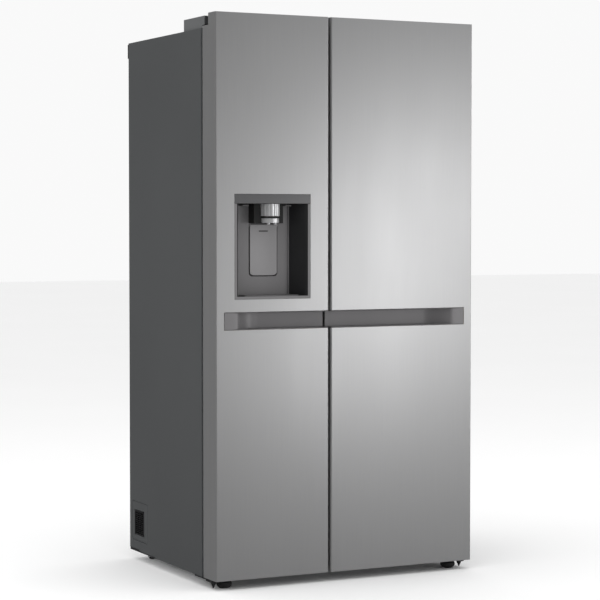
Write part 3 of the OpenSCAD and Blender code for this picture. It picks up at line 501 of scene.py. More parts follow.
# %% Moulded plastics
def moulded(name, colour, lift, rough, grain_scale, depth=0.08, metal=0.0, coat=0.0):
    finish = Finish(name, Metallic=metal)
    finish.shader.inputs["Coat Weight"].default_value = coat
    finish.shader.inputs["Coat Roughness"].default_value = 0.15
    grain = finish.noise(grain_scale, 3)
    cloud = finish.noise(6, 2)
    light = tuple(min(1, c * (1 + lift) + 0.004) for c in colour)
    finish.colours(grain * 0.6 + cloud * 0.4, colour, light)
    finish.rough(rough + 0.10 * grain - 0.05 * cloud)
    finish.relief(grain, depth, 0.0003)
    return finish


trim = moulded("dark_silver_trim", (0.185, 0.180, 0.185), 0.12, 0.36, 1800, 0.05, 0.35)
panel_grey = moulded("dispenser_grey", (0.172, 0.168, 0.172), 0.10, 0.40, 1900, 0.05, 0.20)
# The paddle's grey is the dispenser grey made lighter: painted light that lifts the paddle, which renders darker than
# the plate.
paddle_grey = moulded("paddle_grey", (0.245, 0.240, 0.245), 0.08, 0.36, 1900, 0.05, 0.15)
display = moulded("display_glass_grey", (0.098, 0.098, 0.101), 0.05, 0.20, 900, 0.01, 0.30, 0.4)
black = moulded("black_plastic", (0.012, 0.012, 0.013), 0.5, 0.42, 1500)
cap_grey = moulded("cap_grey", (0.105, 0.108, 0.110), 0.15, 0.42, 1300)
liner = moulded("white_liner", (0.78, 0.80, 0.81), 0.03, 0.22, 260, 0.03, 0.0, 0.3)
rubber = moulded("grey_seal_vinyl", (0.040, 0.041, 0.043), 0.3, 0.58, 700, 0.12)
foot_black = moulded("black_foot_rubber", (0.010, 0.010, 0.010), 0.6, 0.62, 900, 0.2)
lamp_lens = moulded("frosted_lamp_lens", (0.86, 0.86, 0.84), 0.03, 0.35, 500, 0.04)
lamp_lens.shader.inputs["Emission Color"].default_value = (1.0, 0.98, 0.94, 1)
lamp_lens.shader.inputs["Emission Strength"].default_value = 0.35
print("plastics ready")

# %% [markdown]
# Bare and plated metals: chrome on the nozzle, galvanised sheet with its spangle below and behind, rolled
# aluminium on the coil and the auger, and black stove paint on the hinges and the compressor.

# %% Metals
def bare_metal(name, dark, light, rough, pattern_scale, stretch=(1, 1, 1), spangle=False, depth=0.03):
    finish = Finish(name, Metallic=1.0)
    lines = finish.noise(pattern_scale, 3, stretch)
    pattern = finish.cells(pattern_scale * 0.16, "F1", "Color") if spangle else lines
    finish.colours(pattern * 0.7 + lines * 0.3, dark, light)
    finish.rough(rough + 0.12 * pattern + 0.04 * lines)
    finish.relief(lines, depth, 0.0003)
    return finish


chrome = bare_metal("satin_chrome", (0.74, 0.74, 0.75), (0.88, 0.88, 0.89), 0.26, 90, depth=0.01)
chrome.shader.inputs["Metallic"].default_value = 0.72
zinc = bare_metal("galvanised_sheet", (0.42, 0.43, 0.44), (0.62, 0.63, 0.64), 0.30, 420, spangle=True)
zinc.shader.inputs["Metallic"].default_value = 0.55
aluminium = bare_metal("rolled_aluminium", (0.62, 0.63, 0.64), (0.78, 0.79, 0.80), 0.26, 500, (0.05, 1, 1))
stove = case_paint("black_stove_paint", (0.012, 0.012, 0.013), (0.030, 0.030, 0.032), 1100)
print("metals ready")

# %% [markdown]
# Insulation is blown foam: pale yellow, full of closed cells and with a skin that wrinkles where it met the
# steel. It is hidden in use, but a cut or an opened case would show it.

# %% Foam
def blown_foam():
    finish = Finish("blown_foam", Specular_IOR_Level=0.2)
    cells = finish.cells(420)
    skin = finish.noise(22, 4)
    finish.colours(skin * 0.7 + cells * 0.3, (0.62, 0.48, 0.22), (0.82, 0.70, 0.42))
    finish.rough(0.80 + 0.12 * cells)
    finish.relief(cells * 0.6 + skin, 0.25, 0.001)
    return finish


foam = blown_foam()

# %% [markdown]
# Drawers, door bins and the ice bucket are clear styrene with a blue cast, and the shelves are tempered glass
# with a green one. Both are transmissive, with faint ripples from the mould or the rollers.

# %% Clear plastic and glass
def clear(name, tint, rough, index, ripple_scale, ripple):
    finish = Finish(name, Transmission_Weight=0.92, IOR=index)
    ripples = finish.noise(ripple_scale, 2)
    finish.colours(ripples * 0.5, tint, tuple(min(1, c * 1.1) for c in tint))
    finish.rough(rough + 0.05 * ripples)
    finish.relief(ripples, ripple, 0.0004)
    return finish


styrene = clear("clear_styrene", (0.90, 0.94, 0.96), 0.06, 1.45, 60, 0.05)
glass = clear("shelf_glass", (0.78, 0.90, 0.86), 0.02, 1.50, 25, 0.02)
print("finishes:", len(bpy.data.materials))

# %% [markdown]
# Each door skin is one folded sheet. The CAD solid already has its folds and cut-outs, so a copy of it keeps
# them and only gets its raw edges rounded. The plastic caps close its top and bottom.

# %% Door skins and end caps
for side in ("freezer", "fridge"):
    body = side + "_door"
    Piece(body + "_skin_sheet").cad(body + "_skin", steel, 0.0005).done(body, "steel_front", body + "_skin")
    Piece(body + "_end_caps").cad(body + "_caps", cap_grey, 0.0008).done(body, "cap_plastic", body + "_caps")

# %% [markdown]
# The handle band is moulded in two halves. Each has a flat end plate, a lip rounded over about a centimetre,
# and a pocket that curves in behind the steel and runs out at the door's free edge. The pocket's path is
# worked out once as a list of points, and strips of faces are run along it. The grip above is left open, so
# that the fingers find an edge.

# %% Handle trims
def pocket_path(start, flat_from, end, depth, lip_depth, front):
    """Points (x, y) along the trim's face: round lip, hollow curve, flat floor of the pocket."""
    run = flat_from - start
    radius = (run ** 2 + (depth - lip_depth) ** 2) / (2 * (depth - lip_depth))
    entry = math.asin(run / radius)
    lip_radius = 0.016
    points = []
    for k in range(9):
        turn = entry * k / 8
        points.append((start - lip_radius * (math.sin(entry) - math.sin(turn)) * 0.9,
                       front + lip_depth - lip_radius * (math.cos(turn) - math.cos(entry)) * 0.95))
    for k in range(1, 25):
        turn = entry * (1 - k / 24)
        points.append((flat_from - radius * math.sin(turn), front + depth - radius * (1 - math.cos(turn))))
    points.append((end, front + depth))
    return points


def handle_trim(side):
    body, node = side + "_door", side + "_door_handle"
    low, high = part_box(node)
    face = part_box(side + "_door_skin")
    sign = 1 if side == "freezer" else -1
    outer, free = (low.x, high.x) if sign == 1 else (-high.x, -low.x)
    front, z0 = low.y, low.z
    z1 = high.z - 0.014
    edge, depth, lip_depth = 0.003, 0.041, 0.0056
    plate_end = outer + 0.0505
    path = pocket_path(plate_end, plate_end + 0.085, free - 0.0003, depth, lip_depth, front)
    seam, skirt = 0.0014, 0.0025
    line = [(outer + seam, front), (outer + 0.004, front), (outer + 0.030, front)] + path
    line = [p for i, p in enumerate(line) if i == 0 or p[0] > line[i - 1][0]]
    bm = bmesh.new()
    rows = []
    # from the lower rim across the pocket's face to the upper rim; the rims' inner edges are rounded
    for z, into in ((z0 + seam, -1.0), (z0 + seam + 0.0002, 0.0), (z0 + edge - 0.0012, 0.0),
                    (z0 + edge - 0.0004, 0.0006), (z0 + edge, 0.0018), (z0 + edge + 0.0004, 1.0),
                    (z0 + edge + 0.004, 1.0), (z1 - edge - 0.004, 1.0),
                    (z1 - edge - 0.0004, 1.0), (z1 - edge, 0.0018), (z1 - edge + 0.0004, 0.0006),
                    (z1 - edge + 0.0012, 0.0), (z1 - seam - 0.0002, 0.0), (z1 - seam, -1.0)):
        row = []
        for i, (x, y) in enumerate([(line[0][0] - 0.0002, front + skirt)] + line):
            sunk = y - front if into == 1.0 or i == 0 else skirt if into < 0 else min(y - front, into)
            row.append(bm.verts.new((sign * x, front + sunk, z)))
        rows.append(row)
    for a, b in zip(rows, rows[1:]):
        for i in range(len(line)):
            bm.faces.new((a[i], a[i + 1], b[i + 1], b[i]) if sign == 1 else (a[i], b[i], b[i + 1], a[i + 1]))
    piece = Piece(body + "_handle_trim")
    piece.take(bm, trim)
    # the dark seam round the end plate, the moulding's back, and the cavity behind the upper rim
    seat = sorted((sign * (outer - 0.0008), sign * (plate_end - 0.016)))
    piece.block(seat, (front + 0.0014, front + 0.0030), (z0 - 0.0006, z1 + 0.0004), black, 0.0002)
    wall = 0.0025
    inner = sorted((sign * (plate_end + 0.051), sign * (free - 0.0035)))
    ends = sorted((sign * (outer + 0.0006), sign * (free - 0.0003)))
    piece.block(ends, (front + depth + 0.0003, front + depth + wall), (z0, z1 + 0.0), black, 0.0004)
    piece.block(ends, (front + 0.0012, front + depth), (z1 - 0.0012, z1 - 0.0002), trim, 0.0003)
    piece.block(ends, (front + 0.0012, front + depth), (z0 + 0.0002, z0 + 0.0012), trim, 0.0003)
    piece.block(inner, (front + 0.014, front + 0.016), (z1, z1 + 0.0115), black, 0.0005)
    piece.block(inner, (front + 0.014, front + depth + wall), (z1 + 0.0115, high.z), black, 0.0005)
    return piece.done(body, "dark_grey_plastic", node)


for side in ("freezer", "fridge"):
    handle_trim(side)

# %% [markdown]
# The dispenser is a tub with leaning side walls. The mould is grey; its side walls, its roof and the part
# behind the nozzle take black plastic as painted shade, the shade that falls inside the recess. A grey splash
# plate with round corners covers the back and frames the paddle. It is drawn as an outline with a window.

# %% Dispenser tub and splash plate
tub_low, tub_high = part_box("dispenser_housing")
tub_x = (tub_low.x + tub_high.x) / 2
front = tub_low.y
paddle_low, paddle_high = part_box("dispenser_paddle")
band_low, band_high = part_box("dispenser_display")


# Picks the faces inside the recess, except its back, which get black plastic as painted shade.
def recess_walls_painted_shade(face):
    centre = face.calc_center_median()
    return abs(centre.x - tub_x) < 0.1225 and front + 0.001 < centre.y < front + 0.0725


def round_outline(x, z, radius, steps=6, corners=(1, 1, 1, 1)):
    """Corner points of a rounded rectangle, anticlockwise from the lower left."""
    points = []
    places = ((x[0], z[0], 180), (x[1], z[0], 270), (x[1], z[1], 0), (x[0], z[1], 90))
    for (cx, cz, start), on in zip(places, corners):
        r = radius * on
        ox = cx + (r if cx == x[0] else -r)
        oz = cz + (r if cz == z[0] else -r)
        if not on:
            points.append((cx, cz))
            continue
        for k in range(steps + 1):
            a = math.radians(start + 90 * k / steps)
            points.append((ox + r * math.cos(a), oz + r * math.sin(a)))
    return points


def windowed_plate(outer, window, y, finish, piece, edge=0.0006):
    """A plate in the XZ plane with a window, from y[0] (front) to y[1]."""
    part = bmesh.new()
    loops = [[Vector((px, 0, pz)) for px, pz in outer], [Vector((px, 0, pz)) for px, pz in window]]
    flat = loops[0] + loops[1]
    faces = tessellate_polygon(loops)
    fronts = [part.verts.new((v.x, y[0], v.z)) for v in flat]
    backs = [part.verts.new((v.x, y[1], v.z)) for v in flat]
    for a, b, c in faces:
        part.faces.new((fronts[a], fronts[b], fronts[c]))
        part.faces.new((backs[c], backs[b], backs[a]))
    start = 0
    for loop in loops:
        n = len(loop)
        for i in range(n):
            a, b = start + i, start + (i + 1) % n
            part.faces.new((fronts[a], fronts[b], backs[b], backs[a]))
        start += n
    bmesh.ops.dissolve_limit(part, angle_limit=math.radians(0.5), verts=part.verts, edges=part.edges)
    bmesh.ops.recalc_face_normals(part, faces=part.faces)
    rim = [e for e in part.edges if len(e.link_faces) == 2 and e.calc_face_angle(0) > math.radians(60)
           and all(abs(v.co.y - y[0]) < 1e-6 for v in e.verts)]
    if edge:
        bmesh.ops.bevel(part, geom=rim, offset=edge, segments=2, affect="EDGES", profile=0.5)
    piece.take(part, finish)


# The recess walls are black as painted shade; the rest of the tub is grey.
tub = Piece("dispenser_tub").cad("dispenser_housing", panel_grey, 0.0010, 2, choose=recess_walls_painted_shade, other=black)
tub.done("freezer_door", "dark_grey_plastic", "dispenser_housing")
splash = Piece("dispenser_splash_plate")
half = 0.0855
plate_z = (tub_low.z + 0.0095, band_low.z - 0.0005)
windowed_plate(round_outline((tub_x - half, tub_x + half), plate_z, 0.004),
               round_outline((paddle_low.x + 0.0055 - 0.0026, paddle_high.x - 0.0055 + 0.0026),
                             (paddle_low.z - 0.0030, paddle_high.z + 0.0030), 0.011),
               (front + 0.0695, front + 0.0719), panel_grey, splash, 0.0010)
for side in (-1, 1):
    edge_x = sorted((tub_x + side * half, tub_x + side * (half + 0.0035)))
    splash.block(edge_x, (front + 0.0660, front + 0.0719), plate_z, trim, 0.0012, 3)
    tab_x = sorted((tub_x + side * 0.062, tub_x + side * 0.084))
    splash.block(tab_x, (front + 0.040, front + 0.0695), (band_low.z - 0.0070, band_low.z - 0.0035), trim, 0.0012)
splash.done("freezer_door", "dark_grey_plastic")

# %% [markdown]
# A drip grille lies on the floor of the recess. Its bars are all alike, so Geometry Nodes set them in a row
# inside a moulded frame.

# %% Drip grille
grille = Piece("dispenser_drip_grille")
floor_z = tub_low.z + 0.009
bars.into(grille, black, Length=0.052, Width=0.003, Height=0.0016, Rounding=0.0005, Count=24,
          Start=(tub_x - 0.0874, front + 0.036, floor_z + 0.0016), Step=(0.0076, 0, 0), Turn=(0, 0, math.pi / 2))
for y in (front + 0.009, front + 0.062):
    grille.block((tub_x - 0.092, tub_x + 0.092), (y - 0.0015, y + 0.0015), (floor_z + 0.0002, floor_z + 0.0030),
                 panel_grey, 0.0006)
grille.done("freezer_door", "black_plastic")

# %% [markdown]
# The touch band lies flush over the recess. Its keys are lit from behind and all but vanish when they are
# off, so it is a plain dark satin strip with a fine seam under it.

# %% Touch band
band = Piece("dispenser_touch_band")
band.block((band_low.x, band_high.x), (front, front + 0.0038), (band_low.z + 0.0006, band_high.z), display, 0.0012, 3)
band.done("freezer_door", "dark_grey_plastic", "dispenser_display")

# %% [markdown]
# The nozzle is a chromed cap with upright flutes, like the grip of a ring that is meant to be turned. A black
# collar parts it from a plain ring below, and two small water jets stick out underneath. The flutes follow a
# squared cosine round the ring, so that their edges stay soft.

# %% Nozzle
def ring_wall(piece, centre, z, outer, inner, finish, steps, edge=0.0008, flutes=0):
    """A hollow turned ring, with upright flutes cut into its outside if any are asked for."""
    part = bmesh.new()
    loops = []
    for radius, height in ((outer, z[0]), (outer, z[1]), (inner, z[1]), (inner, z[0])):
        loop = []
        for k in range(steps):
            angle = 2 * math.pi * k / steps
            cut = 0.0013 * (0.5 + 0.5 * math.cos(flutes * angle)) ** 2 if flutes and radius == outer else 0
            loop.append(part.verts.new((centre[0] + (radius - cut) * math.cos(angle),
                                        centre[1] + (radius - cut) * math.sin(angle), height)))
        loops.append(loop)
    for a, b in zip(loops, loops[1:] + loops[:1]):
        for k in range(steps):
            part.faces.new((a[k], a[(k + 1) % steps], b[(k + 1) % steps], b[k]))
    bmesh.ops.recalc_face_normals(part, faces=part.faces)
    sharp = [e for e in part.edges if e.calc_face_angle(0) > math.radians(60)]
    bmesh.ops.bevel(part, geom=sharp, offset=edge, segments=2, affect="EDGES", profile=0.5)
    piece.take(part, finish)


nozzle_low, nozzle_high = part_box("dispenser_nozzle")
nozzle_at = (mid("dispenser_nozzle").x, mid("dispenser_nozzle").y)
nozzle = Piece("dispenser_nozzle_cap")
ring_wall(nozzle, nozzle_at, (nozzle_low.z + 0.021, nozzle_high.z), 0.0318, 0.0245, chrome, 160, 0.0010, 16)
ring_wall(nozzle, nozzle_at, (nozzle_low.z, nozzle_low.z + 0.0145), 0.0298, 0.0245, chrome, 64, 0.0012)
for dx in (-0.012, 0.010):
    nozzle.lathe([(0.0, 0.004), (0.0042, 0.004), (0.0046, 0.002), (0.0046, -0.0045), (0.0038, -0.0055),
                  (0.0024, -0.0055), (0.0024, -0.001), (0.0, -0.001)],
                 (nozzle_at[0] + dx, nozzle_at[1] - 0.018, nozzle_low.z + 0.0005), 2, chrome, 24)
nozzle.done("freezer_door", "chrome", "dispenser_nozzle", sharp=35)
chute = Piece("dispenser_chute_block").cad("dispenser_chute", foot_black, 0.0010)
chute.done("freezer_door", "black_plastic", "dispenser_chute")

# %% [markdown]
# The paddle hangs on two pins. Its plate is a little dished, with round lower corners, so that a glass finds
# its middle. The grid of its face is bent by a cosine in each direction.

# %% Paddle
def dished_plate(name):
    piece = Piece(name)
    half_w = 0.0465
    x_mid = (paddle_low.x + paddle_high.x) / 2
    z = (paddle_low.z, paddle_high.z)
    y = front + 0.070
    part = bmesh.new()
    columns, lines = 20, 30
    sheets = []
    for depth in (0.0, 0.0026):
        grid = []
        for j in range(lines + 1):
            height = z[0] + (z[1] - z[0]) * j / lines
            corner = min(0.010, height - z[0])
            reach = half_w - 0.010 + math.sqrt(max(0, 0.010 ** 2 - (0.010 - corner) ** 2))
            row = []
            for i in range(columns + 1):
                dish = 0.0012 * math.cos(math.pi * (i / columns - 0.5)) * math.cos(math.pi * (j / lines - 0.5))
                row.append(part.verts.new((x_mid + reach * (2 * i / columns - 1), y - 0.0030 + dish + depth,
                                           height)))
            grid.append(row)
        sheets.append(grid)
    for grid in sheets:
        for a, b in zip(grid, grid[1:]):
            for i in range(columns):
                part.faces.new((a[i], a[i + 1], b[i + 1], b[i]))
    near, far = sheets
    loops = [near[0] + [r[-1] for r in near[1:]] + near[-1][-2::-1] + [r[0] for r in near[-2:0:-1]],
             far[0] + [r[-1] for r in far[1:]] + far[-1][-2::-1] + [r[0] for r in far[-2:0:-1]]]
    for k in range(len(loops[0])):
        m = (k + 1) % len(loops[0])
        part.faces.new((loops[0][k], loops[0][m], loops[1][m], loops[1][k]))
    bmesh.ops.recalc_face_normals(part, faces=part.faces)
    rim = [e for e in part.edges if e.calc_face_angle(0) > math.radians(60)]
    bmesh.ops.bevel(part, geom=rim, offset=0.0006, segments=2, affect="EDGES", profile=0.5)
    # The paddle plate takes the lightened grey, which is painted light.
    piece.take(part, paddle_grey)
    pivot = Vector((x_mid, front + 0.072, z[1] - 0.003))
    piece.lathe([(0, -0.052), (0.0022, -0.052), (0.0025, -0.0515), (0.0025, 0.0515), (0.0022, 0.052),
                 (0, 0.052)], pivot, 0, zinc, 24)
    piece.prism(round_outline((x_mid - 0.016, x_mid + 0.016), (z[1] - 0.022, z[1] - 0.0185), 0.0017), 1,
                (y - 0.0027, y - 0.0012), black)
    return piece.done("dispenser_paddle", "dark_grey_plastic", "dispenser_paddle")


dished_plate("dispenser_paddle_plate")

# %% [markdown]
# The side of the case is one painted sheet. A bead is pressed in around the vent to stiffen the opening, and
# the lower edge steps up behind the middle. The sheet is laid out as nested rings: outline, the bead's rim and
# floor, the sunk field, and the opening. Then it is given its thickness.

# %% Case sides with the pressed vent panel
def side_sheet(side, sign):
    node = side + "_side_panel"
    low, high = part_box(node)
    vent_low, vent_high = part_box("side_vents")
    outer = sign * max(abs(low.x), abs(high.x))
    y0, y1, z0, z1 = low.y, high.y, low.z, high.z
    press, inner = 0.0030, 0.0008
    rings = [
        ([(y0 + 0.0010, z0), (0.127, z0), (0.1275, z0 + 0.004), (0.262, z0 + 0.004), (0.2625, z0 + 0.009),
          (y1, z0 + 0.009), (y1, z1), (y0 + 0.0010, z1)], 0.0),
        (round_outline((0.190, 0.326), (0.065, 0.200), 0.008, 5), 0.0),
        (round_outline((0.1920, 0.3240), (0.0670, 0.1980), 0.007, 5), press),
        (round_outline((0.1950, 0.3210), (0.0700, 0.1950), 0.006, 5), inner),
        (round_outline((vent_low.y - 0.0006, vent_high.y + 0.0006), (vent_low.z - 0.0006, vent_high.z + 0.0006),
                       0.0004, 5), inner)]
    part = bmesh.new()
    placed = [[part.verts.new((outer - sign * depth, y, z)) for y, z in points] for points, depth in rings]
    for a, b in ((0, 1), (3, 4)):
        loops = [[Vector((0, y, z)) for y, z in rings[k][0]] for k in (a, b)]
        flat = placed[a] + placed[b]
        for tri in tessellate_polygon([[Vector((p.y, p.z, 0)) for p in loop] for loop in loops]):
            part.faces.new([flat[i] for i in tri])
    for a, b in ((1, 2), (2, 3)):
        for i in range(len(placed[a])):
            j = (i + 1) % len(placed[a])
            part.faces.new((placed[a][i], placed[a][j], placed[b][j], placed[b][i]))
    bmesh.ops.recalc_face_normals(part, faces=part.faces)
    if sum(f.normal.x * f.calc_area() for f in part.faces) * sign < 0:
        bmesh.ops.reverse_faces(part, faces=part.faces)
    bmesh.ops.dissolve_limit(part, angle_limit=math.radians(0.5), verts=part.verts, edges=part.edges)
    piece = bpy.data.meshes.new("sheet")
    part.to_mesh(piece)
    part.free()
    sheet = bpy.data.objects.new("sheet", piece)
    bpy.context.scene.collection.objects.link(sheet)
    thick = sheet.modifiers.new("gauge", "SOLIDIFY")
    thick.thickness, thick.offset = 0.0011, -1
    edges = sheet.modifiers.new("edges", "BEVEL")
    edges.width, edges.segments, edges.limit_method = 0.0004, 2, "ANGLE"
    plain_mesh(sheet)
    part = bmesh.new()
    part.from_mesh(sheet.data)
    bpy.data.objects.remove(sheet)
    panel = Piece(side + "_side_sheet")
    panel.take(part, paint)
    back_strip = sorted((outer - sign * 0.0009, outer - sign * 0.0030))
    panel.block(back_strip, (0.110, y1 - 0.001), (z0 + 0.0005, z0 + 0.014), black, 0.0003)
    flange = sorted((outer - sign * 0.0005, sign * min(abs(low.x), abs(high.x))))
    panel.block(flange, (y0, y0 + 0.0012), (z0, z1 - 0.0012), paint, 0.0004)
    return panel.done("root", "case_paint", node)


side_sheet("left", -1)
side_sheet("right", 1)

# %% [markdown]
# The vents let the condenser breathe. Slanted slats keep fingers and water out; Geometry Nodes set them one
# above another in each insert, and three uprights stiffen them.

# %% Side vents
def louvre(piece, sign):
    low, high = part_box("side_vents")
    x = sorted((sign * high.x, sign * (high.x - 0.008)))
    y, z = (low.y, high.y), (low.z, high.z)
    frame_w = 0.005
    for zz in ((z[0], z[0] + frame_w), (z[1] - frame_w, z[1])):
        piece.block(x, y, zz, black, 0.0007)
    for yy in ((y[0], y[0] + frame_w), (y[1] - frame_w, y[1])):
        piece.block(x, yy, z, black, 0.0007)
    count = 11
    pitch = (z[1] - z[0] - 2 * frame_w) / count
    bars.into(piece, black, Length=y[1] - y[0] - frame_w, Width=0.0014, Height=0.0070, Rounding=0.0004, Count=count,
              Start=(sign * (high.x - 0.0042), (y[0] + y[1]) / 2, z[0] + frame_w + pitch / 2),
              Step=(0, 0, pitch), Turn=(math.radians(50 if sign > 0 else -50), 0, math.pi / 2))
    for k in (1, 2, 3):
        at = y[0] + (y[1] - y[0]) * k / 4
        xx = sorted((sign * (high.x - 0.0062), sign * (high.x - 0.0012)))
        piece.block(xx, (at - 0.0009, at + 0.0009), z, black, 0.0003)


vents = Piece("side_vent_louvres")
for sign in (-1, 1):
    louvre(vents, sign)
vents.done("root", "black_plastic", "side_vents")

# %% [markdown]
# The hinge covers are soft-edged caps snapped over the top hinges. The hinge leaf shows in front of each as a
# black nose, over the pin that drops into the door.

# %% Hinges and their covers
Piece("hinge_cover_caps").cad("hinge_covers", cap_grey, 0.0025, 4, angle=50).done(
    "root", "case_paint", "hinge_covers")
Piece("upper_hinge_leaves").cad("upper_hinges", stove, 0.0010, 3).done("root", "black_steel", "upper_hinges")
lower = Piece("lower_hinge_plates").cad("lower_hinges", stove, 0.0010, 3)
for sign in (-1, 1):
    lug = sorted((sign * 0.4300, sign * 0.4530))
    lower.block(lug, (-0.3200, -0.2700), (0.0195, 0.0290), stove, 0.0025, 3)
    lower.lathe([(0, 0.0185), (0.0100, 0.0185), (0.0060, 0.0100), (0.0020, 0), (0, 0)],
                (sign * 0.4420, -0.3050, 0.0032), 2, stove, 24)
lower.done("root", "black_steel", "lower_hinges")

# %% [markdown]
# The rest of the case: painted top and mullion, galvanised back and floor, black cover behind.

# %% Case panels
for node, finish, slot in (("top_panel", paint, "case_paint"), ("mullion_bar", paint, "case_paint"),
                           ("bottom_pan", zinc, "zinc_sheet"), ("compressor_base", zinc, "zinc_sheet"),
                           ("machine_cover", black, "black_plastic"),
                           ("rear_spacers", black, "black_plastic"), ("fan_motors", zinc, "zinc_sheet"),
                           ("drip_pan", black, "black_plastic")):
    Piece(node + "_piece").cad(node, finish, 0.0006).done("root", slot, node)

# %% [markdown]
# The back is galvanised sheet with long pressed ribs, which stop it from drumming. The ribs are low rounded
# swellings, set side by side by the bar rule and sunk into the sheet.

# %% Back panel
back_low, back_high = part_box("back_panel")
back = Piece("back_sheet").cad("back_panel", zinc, 0.0004)
bars.into(back, zinc, Length=1.15, Width=0.026, Height=0.0026, Rounding=0.0012, Count=5,
          Start=(-0.32, back_high.y + 0.0001, (back_low.z + back_high.z) / 2), Step=(0.16, 0, 0),
          Turn=(0, math.pi / 2, math.pi / 2))
back.done("root", "zinc_sheet", "back_panel")

# %% [markdown]
# Screws hold the machine cover, and bolts hold the top hinges. The heads are low domes with a cross
# recess. One head is turned on a lathe profile, and Geometry Nodes repeat it on a mesh of points.

# %% Screws
def head_rule(head):
    rule = Rule("heads_on_points")
    seats = rule.add("NodeGroupInput")
    rule.tree.interface.new_socket("Seats", in_out="INPUT", socket_type="NodeSocketGeometry")
    turn = rule.input("Turn", "NodeSocketVector")
    shape = rule.add("GeometryNodeObjectInfo", None, {"Object": head})
    angle = rule.add("FunctionNodeEulerToRotation", None, {"Euler": turn})
    heads = rule.add("GeometryNodeInstanceOnPoints", None,
                     {"Points": seats.outputs["Seats"], "Instance": shape.outputs["Geometry"],
                      "Rotation": angle.outputs[0]})
    rule.close(heads.outputs[0])
    return rule


def screw_head(radius, height):
    """A domed head with a cross recess, its seat at the origin and its top towards Z."""
    model = Piece("head")
    model.lathe([(0, 0), (radius, 0), (radius, height * 0.45), (radius * 0.86, height * 0.78),
                 (radius * 0.5, height), (0, height * 0.96)], (0, 0, 0), 2, zinc, 28)
    for turn in (0, 90):
        model.block((-radius * 0.55, radius * 0.55), (-radius * 0.10, radius * 0.10),
                    (height * 0.80, height * 1.005), black, 0.0001, 1, Matrix.Rotation(math.radians(turn), 4, "Z"))
    mesh = bpy.data.meshes.new("head")
    model.bm.to_mesh(mesh)
    model.bm.free()
    piece = bpy.data.objects.new("head", mesh)
    bpy.context.scene.collection.objects.link(piece)
    return piece


def seat_points(points):
    mesh = bpy.data.meshes.new("seats")
    mesh.from_pydata(points, [], [])
    return mesh

# %% Screws on the case
def loose_boxes(node):
    """The box of each separate solid in a CAD node."""
    part = bmesh.new()
    part.from_mesh(nodes[node].data)
    bmesh.ops.remove_doubles(part, verts=part.verts, dist=1e-6)
    left, boxes = set(part.verts), []
    while left:
        group, edge = set(), [left.pop()]
        while edge:
            vert = edge.pop()
            group.add(vert)
            for link in vert.link_edges:
                other = link.other_vert(vert)
                if other in left:
                    left.discard(other)
                    edge.append(other)
        spots = [nodes[node].matrix_world @ v.co for v in group]
        boxes.append([Vector([pick(p[i] for p in spots) for i in range(3)]) for pick in (min, max)])
    part.free()
    return boxes


fasteners = loose_boxes("screws")
cover = [(low, high) for low, high in fasteners if high.y - low.y > high.z - low.z]
bolts = [(low, high) for low, high in fasteners if high.y - low.y <= high.z - low.z]
screws = Piece("case_screws").cad("screws", zinc, 0.0003)
for group, axis, turn, height in ((cover, 1, (-math.pi / 2, 0, 0), 0.0027), (bolts, 2, (0, 0, 0), 0.0042)):
    radius = (group[0][1].x - group[0][0].x) / 2 + 0.0001
    one_head = screw_head(radius, height)
    seats = []
    for low, high in group:
        seat = (low + high) / 2
        seat[axis] = high[axis] - height + 0.0002
        seats.append(tuple(seat))
    head_rule(one_head).into(screws, zinc, seat_points(seats), Turn=turn)
    bpy.data.objects.remove(one_head)
screws.done("root", "zinc_sheet", "screws")
print("cover screws:", len(cover), "hinge bolts:", len(bolts))

# %% [markdown]
# The gasket is a soft vinyl bellows with a magnet in its nose. A ribbed section is swept once round the door
# by Geometry Nodes, along a rounded rectangle, which is how the real strip is extruded and then welded at its
# corners.

# %% Door gaskets
def gasket_rule():
    rule = Rule("strip_round_a_frame")
    wide, tall = rule.input("Wide"), rule.input("Tall")
    strip, high = rule.input("Strip"), rule.input("High")
    place = rule.input("Place", "NodeSocketVector")
    frame_line = rule.add("GeometryNodeCurvePrimitiveQuadrilateral", {"mode": "RECTANGLE"},
                          {"Width": wide, "Height": tall})
    round_line = rule.add("GeometryNodeFilletCurve", None, {"Curve": frame_line.outputs[0], "Radius": 0.012})
    if "Mode" in round_line.inputs:
        round_line.inputs["Mode"].default_value = "Poly"
    else:
        round_line.mode = "POLY"
    round_line.inputs["Count"].default_value = 5
    section = rule.add("GeometryNodeCurvePrimitiveQuadrilateral", {"mode": "RECTANGLE"},
                       {"Width": strip, "Height": high})
    fine = rule.add("GeometryNodeSubdivideCurve", None, {"Curve": section.outputs[0], "Cuts": 9})
    along = rule.add("GeometryNodeInputPosition")
    parts = rule.add("ShaderNodeSeparateXYZ", None, {"Vector": along.outputs[0]})
    waves = rule.add("ShaderNodeMath", {"operation": "MULTIPLY"}, {0: parts.outputs["Y"], 1: 1400.0})
    ripple = rule.add("ShaderNodeMath", {"operation": "COSINE"}, {0: waves.outputs[0]})
    squeeze = rule.add("ShaderNodeMath", {"operation": "MULTIPLY_ADD"}, {0: ripple.outputs[0], 1: 0.06, 2: 0.93})
    pulled = rule.add("ShaderNodeMath", {"operation": "MULTIPLY"}, {0: parts.outputs["X"], 1: squeeze.outputs[0]})
    moved = rule.add("ShaderNodeCombineXYZ", None, {"X": pulled.outputs[0], "Y": parts.outputs["Y"]})
    bellows = rule.add("GeometryNodeSetPosition", None, {"Geometry": fine.outputs[0], "Position": moved.outputs[0]})
    swept = rule.add("GeometryNodeCurveToMesh", None,
                     {"Curve": round_line.outputs[0], "Profile Curve": bellows.outputs[0]})
    stood = rule.add("GeometryNodeTransform", None,
                     {"Geometry": swept.outputs[0], "Translation": place, "Rotation": (math.pi / 2, 0, 0)})
    rule.close(stood.outputs[0])
    return rule


